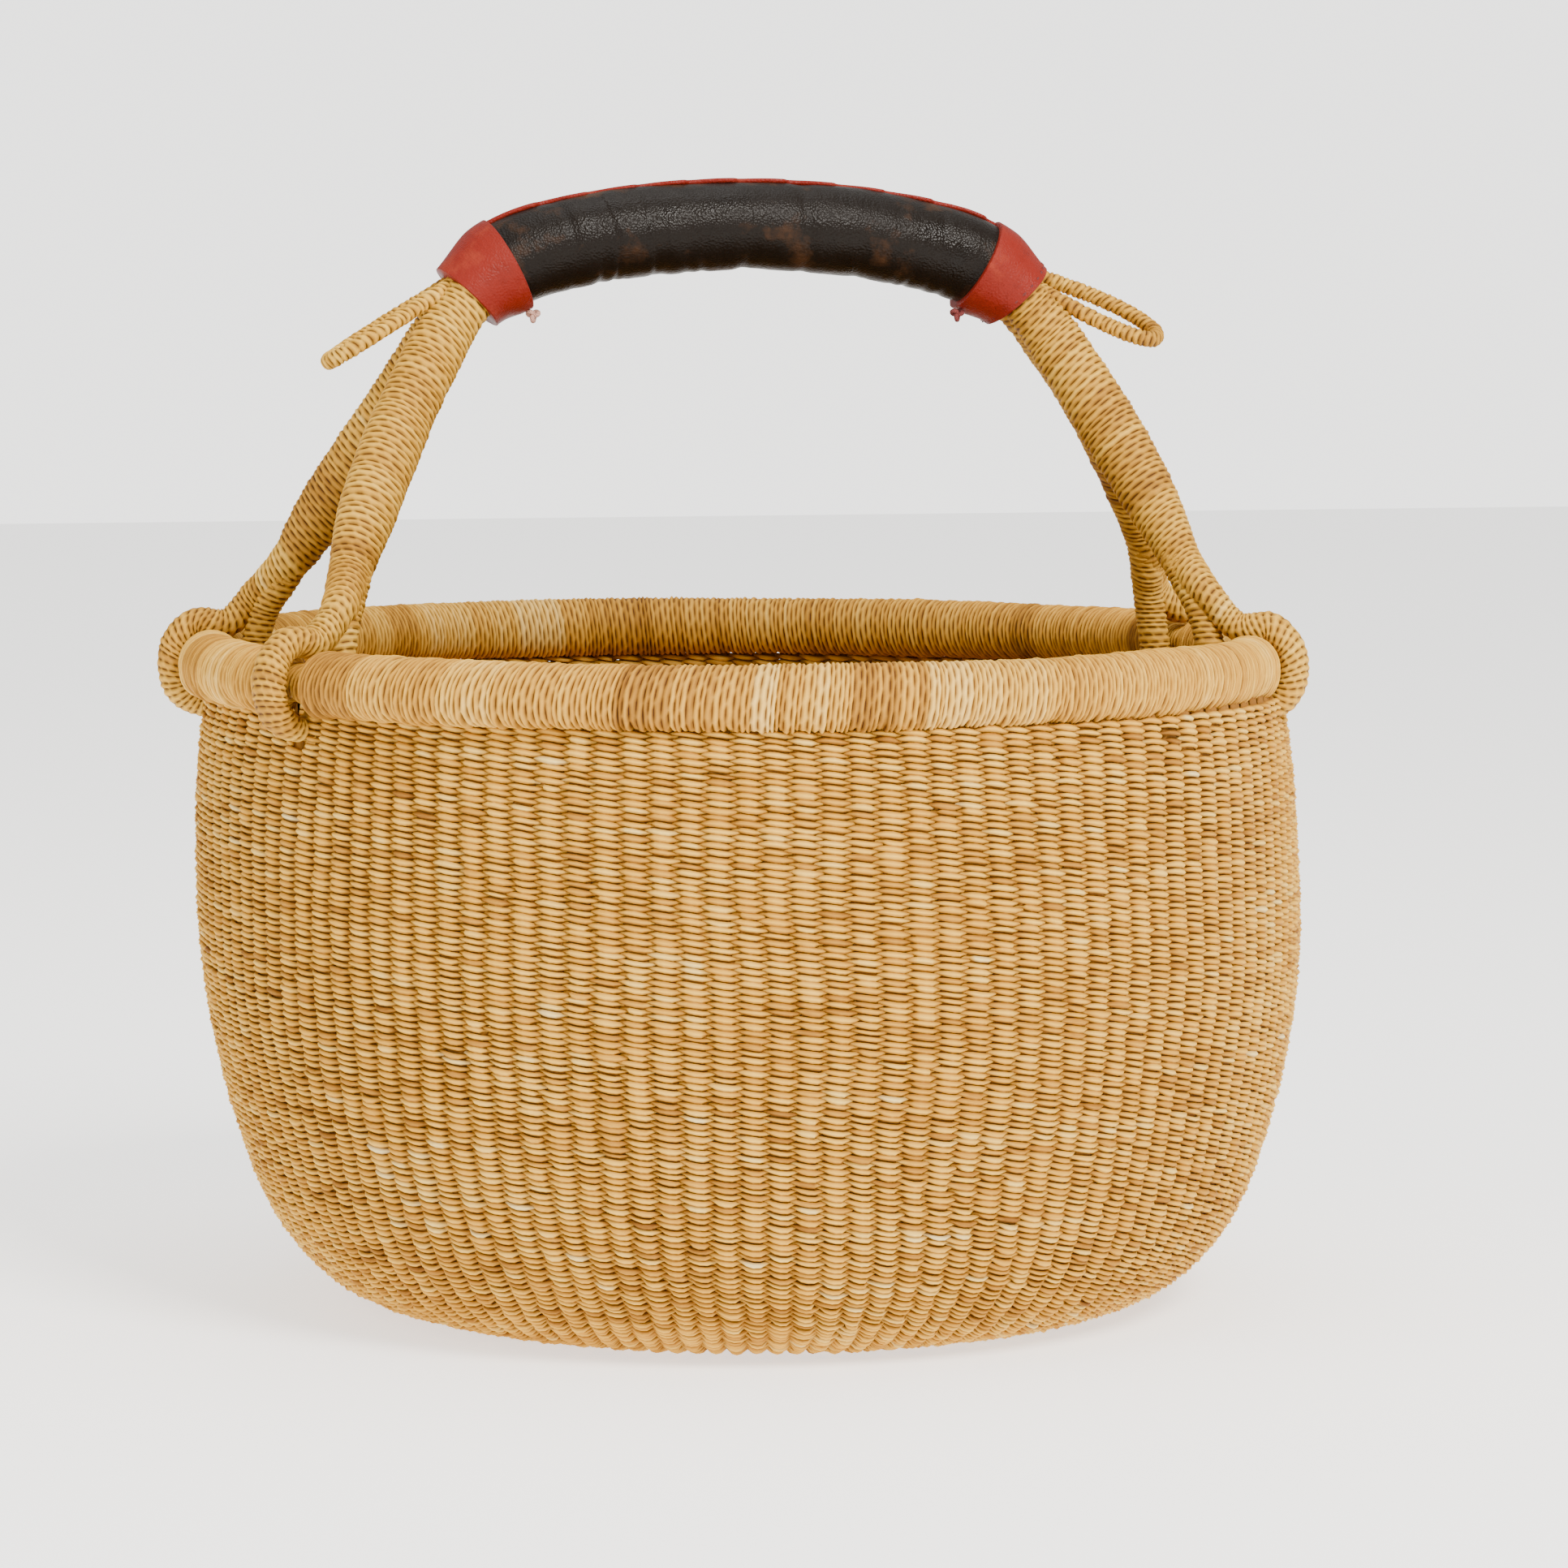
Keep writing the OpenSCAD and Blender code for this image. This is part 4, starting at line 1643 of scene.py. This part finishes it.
        def place(along: Array, turn: Array, strip: Array) -> tuple[Array, Marks]:
            spin = FULL_TURN * turn
            bow = np.sin(math.pi * along)
            angle = 360 * (strip + 0.66 * along) / self.stitch_count
            distance = line.length - 1.9 * MM + 0.42 * MM * np.cos(spin) * bow ** 0.4
            radius = (self.handle.sleeve_r + self.leather_t - 0.45 * MM + 0.5 * MM * bow
                      + 0.4 * MM * np.sin(spin) * bow ** 0.4 - self.taper(start + distance, whole, angle))
            return self.around(line, distance, angle, radius), {}

        name = f"cuff_stitches_{side.name.lower()}"
        return RolledSheet(name, 6, 6, self.stitch_count).build(place)

    def knot(self, side: Side) -> bpy.types.Object:
        """Builds the knot of thread that ties a cuff, as a tight trefoil."""
        low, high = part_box(f"cuff_knot_{side.name.lower()}")
        middle = np.array((low + high) / 2)
        size = 0.899 * MM
        thick = 0.85 * MM
        reach = 0.3 * MM
        turn = np.linspace(0, FULL_TURN, 145)
        curl = np.stack([np.sin(turn) + 1.2 * np.sin(2 * turn), -0.9 * np.sin(3 * turn),
                         np.cos(turn) - 1.2 * np.cos(2 * turn)], -1)
        ring = Line(middle + size * curl)

        def place(along: Array, turn: Array, _: Array) -> tuple[Array, Marks]:
            distance = (along % 1) * ring.length
            ahead = ring.at((distance + reach) % ring.length)
            heading = unit(ahead - ring.at((distance - reach) % ring.length))
            out = unit(ring.at(distance) - middle + WELD)
            side_way = unit(np.cross(heading, out))
            lift = np.cross(side_way, heading)
            spin = FULL_TURN * turn
            return (ring.at(distance) + side_way * (thick * np.cos(spin))[:, None]
                    + lift * (thick * np.sin(spin))[:, None]), {}

        return RolledSheet(f"knot_thread_{side.name.lower()}", 96, 8).build(place)


# ---------------------------------------------------------------- the whole basket


@dataclass
class Basket:
    """Builds and dresses every piece.

    Attributes:
        columns: Columns of the wall's weave.
        row_pitch: The distance between rows.
        band_rows: Rows in one piece of the wall.
        slot_drop: How far a fork's slot reaches down below the rim.
        slot_half: Half of a slot's width.
        long_start: Radius on the base where the long stakes start.
        added_start: Radius on the base where the added stakes start.
        zones: Inner radius and columns of each zone of the base, from its edge inwards.
        bowl: The bowl's shape.
        rim: The rim.
        handle: The handle's lines.
        materials: The materials by name.
        centres: The middle and the outward direction of each fork.
    """

    columns: int = 128
    row_pitch: float = 2.26 * MM
    band_rows: int = 17
    slot_drop: float = 11.5 * MM
    slot_half: float = 5.2 * MM
    long_start: float = 34 * MM
    added_start: float = 96 * MM
    zones: tuple[tuple[float, int], ...] = ((118 * MM, 128), (66 * MM, 64), (32 * MM, 32), (12 * MM, 16))
    bowl: Bowl = field(default_factory=Bowl)
    rim: Rim = field(default_factory=Rim)
    handle: Handle = field(init=False)
    materials: dict[str, bpy.types.Material] = field(default_factory=dict)
    centres: list[tuple[Array, Array]] = field(init=False)

    def __post_init__(self) -> None:
        """Makes the handle's shape and the finishes."""
        self.handle = Handle(self.rim)
        for finish in (WEAVE_STRAW, RIM_STRAW, LEG_STRAW, CORE_STRAW, DARK_LEATHER, RED_LEATHER,
                       PINK_THREAD, RED_THREAD):
            self.materials[finish.name] = finish.make()
        self.centres = [(self.handle.ring_centre(side, arch), self.handle.facing(side, arch))
                        for side in Side for arch in Arch]

    def in_slot(self, spot: Vector) -> bool:
        """Says whether a point lies where a handle's fork goes through the wall."""
        if spot.z < self.rim.height - self.rim.half - self.slot_drop:
            return False
        for centre, way in self.centres:
            dx, dy = spot.x - centre[0], spot.y - centre[1]
            through, aside = dx * way[0] + dy * way[1], dy * way[0] - dx * way[1]
            if abs(through) < 30 * MM and abs(aside) < self.slot_half:
                return True
        return False

    def build_wall(self) -> None:
        """Builds the wall's rows, in bands."""
        rows = round(self.bowl.wall_length / self.row_pitch)
        pitch = self.bowl.wall_length / rows
        for band, start in enumerate(range(0, rows, self.band_rows)):
            count = min(self.band_rows, rows - start)
            cut = self.in_slot if start + count == rows else None
            piece = TwinedRows(self.bowl, f"wall_rows_{band}", start * pitch, count, pitch,
                               self.columns, 200 + band).build(cut)
            dress(piece, self.materials["weave_straw"], Body.BASKET, "weave_straw",
                  *(WALL_NODES if band == 0 else ()))

    def build_base(self) -> None:
        """Builds the base's rows, with more stakes towards its edge."""
        edge, pieces = 0.0, []
        outside = self.bowl.base_r
        for index, (inner, columns) in enumerate(self.zones):
            span = outside - inner
            rows = round(span / self.row_pitch)
            pieces.append(TwinedRows(self.bowl, f"base_{index}", edge - span, rows, span / rows,
                                     columns, 300 + index, half_width=1.22 * MM).build())
            edge, outside = edge - span, inner
        straw = self.materials["weave_straw"]
        dress(pieces[0], straw, Body.BASKET, "weave_straw", "base_weft")
        dress(joined("base_inner_rows", pieces[1:]), straw, Body.BASKET, "weave_straw")
        dress(self.base_cross(), straw, Body.BASKET, "weave_straw", "base_cross")

    def base_cross(self) -> bpy.types.Object:
        """Builds the cross of flat straws at the middle of the base."""
        each, reach, gap, half_depth = 5, 15 * MM, 5 * MM, 0.9 * MM

        def place(along: Array, turn: Array, strip: Array) -> tuple[Array, Marks]:
            spin = FULL_TURN * turn
            layer = strip // each
            down = (2 * along - 1) * reach
            aside = (strip % each - (each - 1) / 2) * gap + 0.47 * gap * np.cos(spin)
            height = self.bowl.weave_t / 2 + half_depth * (2 * layer - 1 + np.sin(spin))
            x = np.where(layer == 0, down, aside) + self.bowl.lean_foot
            y = np.where(layer == 0, aside, down)
            tones = 0.5 + 0.08 * np.sin(5.0 * strip)
            # Painted shade, darker towards the flat straws' edges.
            return np.stack([x, y, height], -1), {"tone": tones, "shade": 0.75 + 0.25 * np.sin(spin) ** 2}

        return RolledSheet("base_cross_straws", 6, 10, 2 * each).build(place)

    def build_stakes(self) -> None:
        """Builds the stakes."""
        stakes = Stakes(self.bowl, self.columns)
        every = range(self.columns)
        long = stakes.build("long_stakes", [c for c in every if c % 2 == 0],
                            self.long_start - self.bowl.base_r, self.in_slot)
        added = stakes.build("added_stakes", [c for c in every if c % 2],
                             self.added_start - self.bowl.base_r, self.in_slot)
        straw = self.materials["stake_straw"]
        dress(long, straw, Body.BASKET, "stake_straw", "stakes_long")
        dress(added, straw, Body.BASKET, "stake_straw", "stakes_added")

    def build_handle(self) -> None:
        """Builds the legs, forks, hanging loops and grip."""
        straw = self.materials["leg_straw"]
        for side in Side:
            for arch in Arch:
                leg = Leg(self.handle, side, arch)
                dress(leg.shaft(), straw, Body.HANDLE, "leg_straw", f"leg_wrap_{leg.tag}",
                      f"ring_wrap_{leg.tag}")
                dress(leg.inner_branch(), straw, Body.HANDLE, "leg_straw", f"ring_core_{leg.tag}")
        for loop in (HangingLoop(self.handle, Side.LEFT, 32, -2),
                     HangingLoop(self.handle, Side.RIGHT, 23, 28)):
            end = loop.side.name.lower()
            dress(loop.build(), straw, Body.HANDLE, "loop_straw", f"ear_wrap_{end}", f"ear_core_{end}")
        for arch in Arch:
            dress(self.arch_bundle(arch), self.materials["stake_straw"], Body.HANDLE, "stake_straw",
                  f"arch_core_{arch.name.lower()}")
        self.build_grip()

    def arch_bundle(self, arch: Arch) -> bpy.types.Object:
        """Builds the bundle of straw that runs through both legs and the grip of an arch."""
        left, right = (Leg(self.handle, side, arch).core_points for side in Side)
        slopes = np.linspace(-self.handle.end_slope, self.handle.end_slope, 17)
        over = self.handle.grip_point(slopes) + arch.value * self.handle.core_offset * BACKWARDS
        line = Line.through([*left[::-1], *over, *right])
        return Wrapping(f"arch_bundle_{arch.name.lower()}", line, BACKWARDS, steady(6.1 * MM),
                        9 * MM, 0.3 * MM, (0.0, 0.0), 95, around=14).build()

    def build_grip(self) -> None:
        """Builds the leather pieces."""
        grip = Grip(self.handle)
        dark, red = self.materials["dark_leather"], self.materials["red_leather"]
        dress(grip.sleeve(), dark, Body.HANDLE, "dark_leather", "grip_sleeve")
        dress(grip.lace(), red, Body.HANDLE, "red_leather", "grip_lace")
        threads = {Side.LEFT: self.materials["pink_thread"], Side.RIGHT: self.materials["red_thread"]}
        for side in Side:
            end = side.name.lower()
            dress(grip.cuff(side), red, Body.HANDLE, "red_leather", f"cuff_{end}")
            dress(grip.knot(side), threads[side], Body.HANDLE, "knot_thread", f"cuff_knot_{end}")
        dress(grip.stitches(Side.RIGHT), threads[Side.RIGHT], Body.HANDLE, "knot_thread")

    def build(self) -> None:
        """Builds the whole basket."""
        self.build_wall()
        self.build_base()
        self.build_stakes()
        grips = [centre for centre, _ in self.centres]
        dress(self.rim.build(grips), self.materials["rim_straw"], Body.BASKET, "rim_straw", "rim_wrap")
        dress(self.rim.bundle(grips), self.materials["stake_straw"], Body.BASKET, "stake_straw",
              "rim_core")
        self.build_handle()
        # These imported cores carry no shade mark, so they take the full painted shade of the stake straw.
        for name in ("grip_pad_upper", "grip_pad_lower"):
            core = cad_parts[name]
            core.data.materials.clear()
            core.data.materials.append(self.materials["stake_straw"])


# ---------------------------------------------------------------- the studio


@dataclass
class Studio:
    """A pale floor, soft light and the camera.

    Attributes:
        azimuth: The camera's angle round the basket, in degrees.
        distance: Its level distance from the basket's axis.
        height: Its height above the floor.
        pitch: How far it looks down, in degrees.
        lens: Its focal length, in millimetres.
        shift: Its sideways shift.
        soft_light: The strength of the light from all round.
        wall_light: The brightness of the wall behind.
        tint: The colour of both.
        target: The place that the lamps point at.
    """

    azimuth: float = -14
    distance: float = 2.05
    height: float = 0.368
    pitch: float = 5.2
    lens: float = 133.5
    shift: float = 0.032
    soft_light: float = 0.8
    wall_light: float = 2.6
    tint: Colour = (1, 0.99, 0.97)
    target: Spot = (0, 0, 0.2)

    def camera(self) -> None:
        """Sets up the camera."""
        camera = bpy.data.cameras.new("camera")
        camera.lens = self.lens
        camera.sensor_width = 36
        camera.shift_x = self.shift
        holder = new_object("camera", camera)
        turn = math.radians(self.azimuth)
        holder.location = (math.sin(turn) * self.distance, -math.cos(turn) * self.distance, self.height)
        holder.rotation_euler = (math.radians(90 - self.pitch), 0, turn)
        bpy.context.scene.camera = holder

    def floor(self) -> None:
        """Lays the floor."""
        sheet = bmesh.new()
        bmesh.ops.create_grid(sheet, x_segments=8, y_segments=8, size=6)
        mesh = bpy.data.meshes.new("floor")
        sheet.to_mesh(mesh)
        sheet.free()
        mesh.materials.append(FloorFinish().make())
        new_object("floor", mesh)

    def lamp(self, name: str, spot: Spot, size: float, power: float, tint: Colour) -> None:
        """Hangs a soft lamp that points at the basket.

        Args:
            name: The lamp's name.
            spot: Where it hangs.
            size: Its width.
            power: Its power in watts.
            tint: Its colour.
        """
        lamp = bpy.data.lights.new(name, "AREA")
        lamp.size, lamp.energy, lamp.color = size, power, tint
        holder = new_object(name, lamp)
        holder.location = spot
        aim = Vector(self.target) - Vector(spot)
        holder.rotation_euler = aim.to_track_quat("-Z", "Y").to_euler()

    def build(self) -> None:
        """Sets up everything."""
        self.camera()
        self.floor()
        self.lamp("key", (0.7, -2.3, 2.1), 1.1, 150, (1, 0.97, 0.92))
        self.lamp("fill", (-2.3, -1.2, 1.3), 1.8, 26, self.tint)
        self.lamp("top", (0.1, 0.1, 2.7), 1.6, 26, (1, 1, 1))
        self.surroundings()

    def surroundings(self) -> None:
        """Lights the studio softly from all round, with a paler wall behind the basket."""
        world = bpy.data.worlds.new("studio")
        world.use_nodes = True
        tree = world.node_tree
        soft = tree.nodes["Background"]
        wall, mix, path = (tree.nodes.new("ShaderNode" + kind)
                           for kind in ("Background", "MixShader", "LightPath"))
        for node, strength in ((soft, self.soft_light), (wall, self.wall_light)):
            node.inputs["Color"].default_value = (*self.tint, 1)
            node.inputs["Strength"].default_value = strength
        tree.links.new(path.outputs["Is Camera Ray"], mix.inputs[0])
        tree.links.new(soft.outputs[0], mix.inputs[1])
        tree.links.new(wall.outputs[0], mix.inputs[2])
        tree.links.new(mix.outputs[0], tree.nodes["World Output"].inputs["Surface"])
        bpy.context.scene.world = world


def main() -> None:
    """Builds the studio and the basket."""
    logging.basicConfig(level=logging.INFO, format="%(message)s")
    Studio().build()
    Basket().build()


if __name__ == "__main__":
    main()
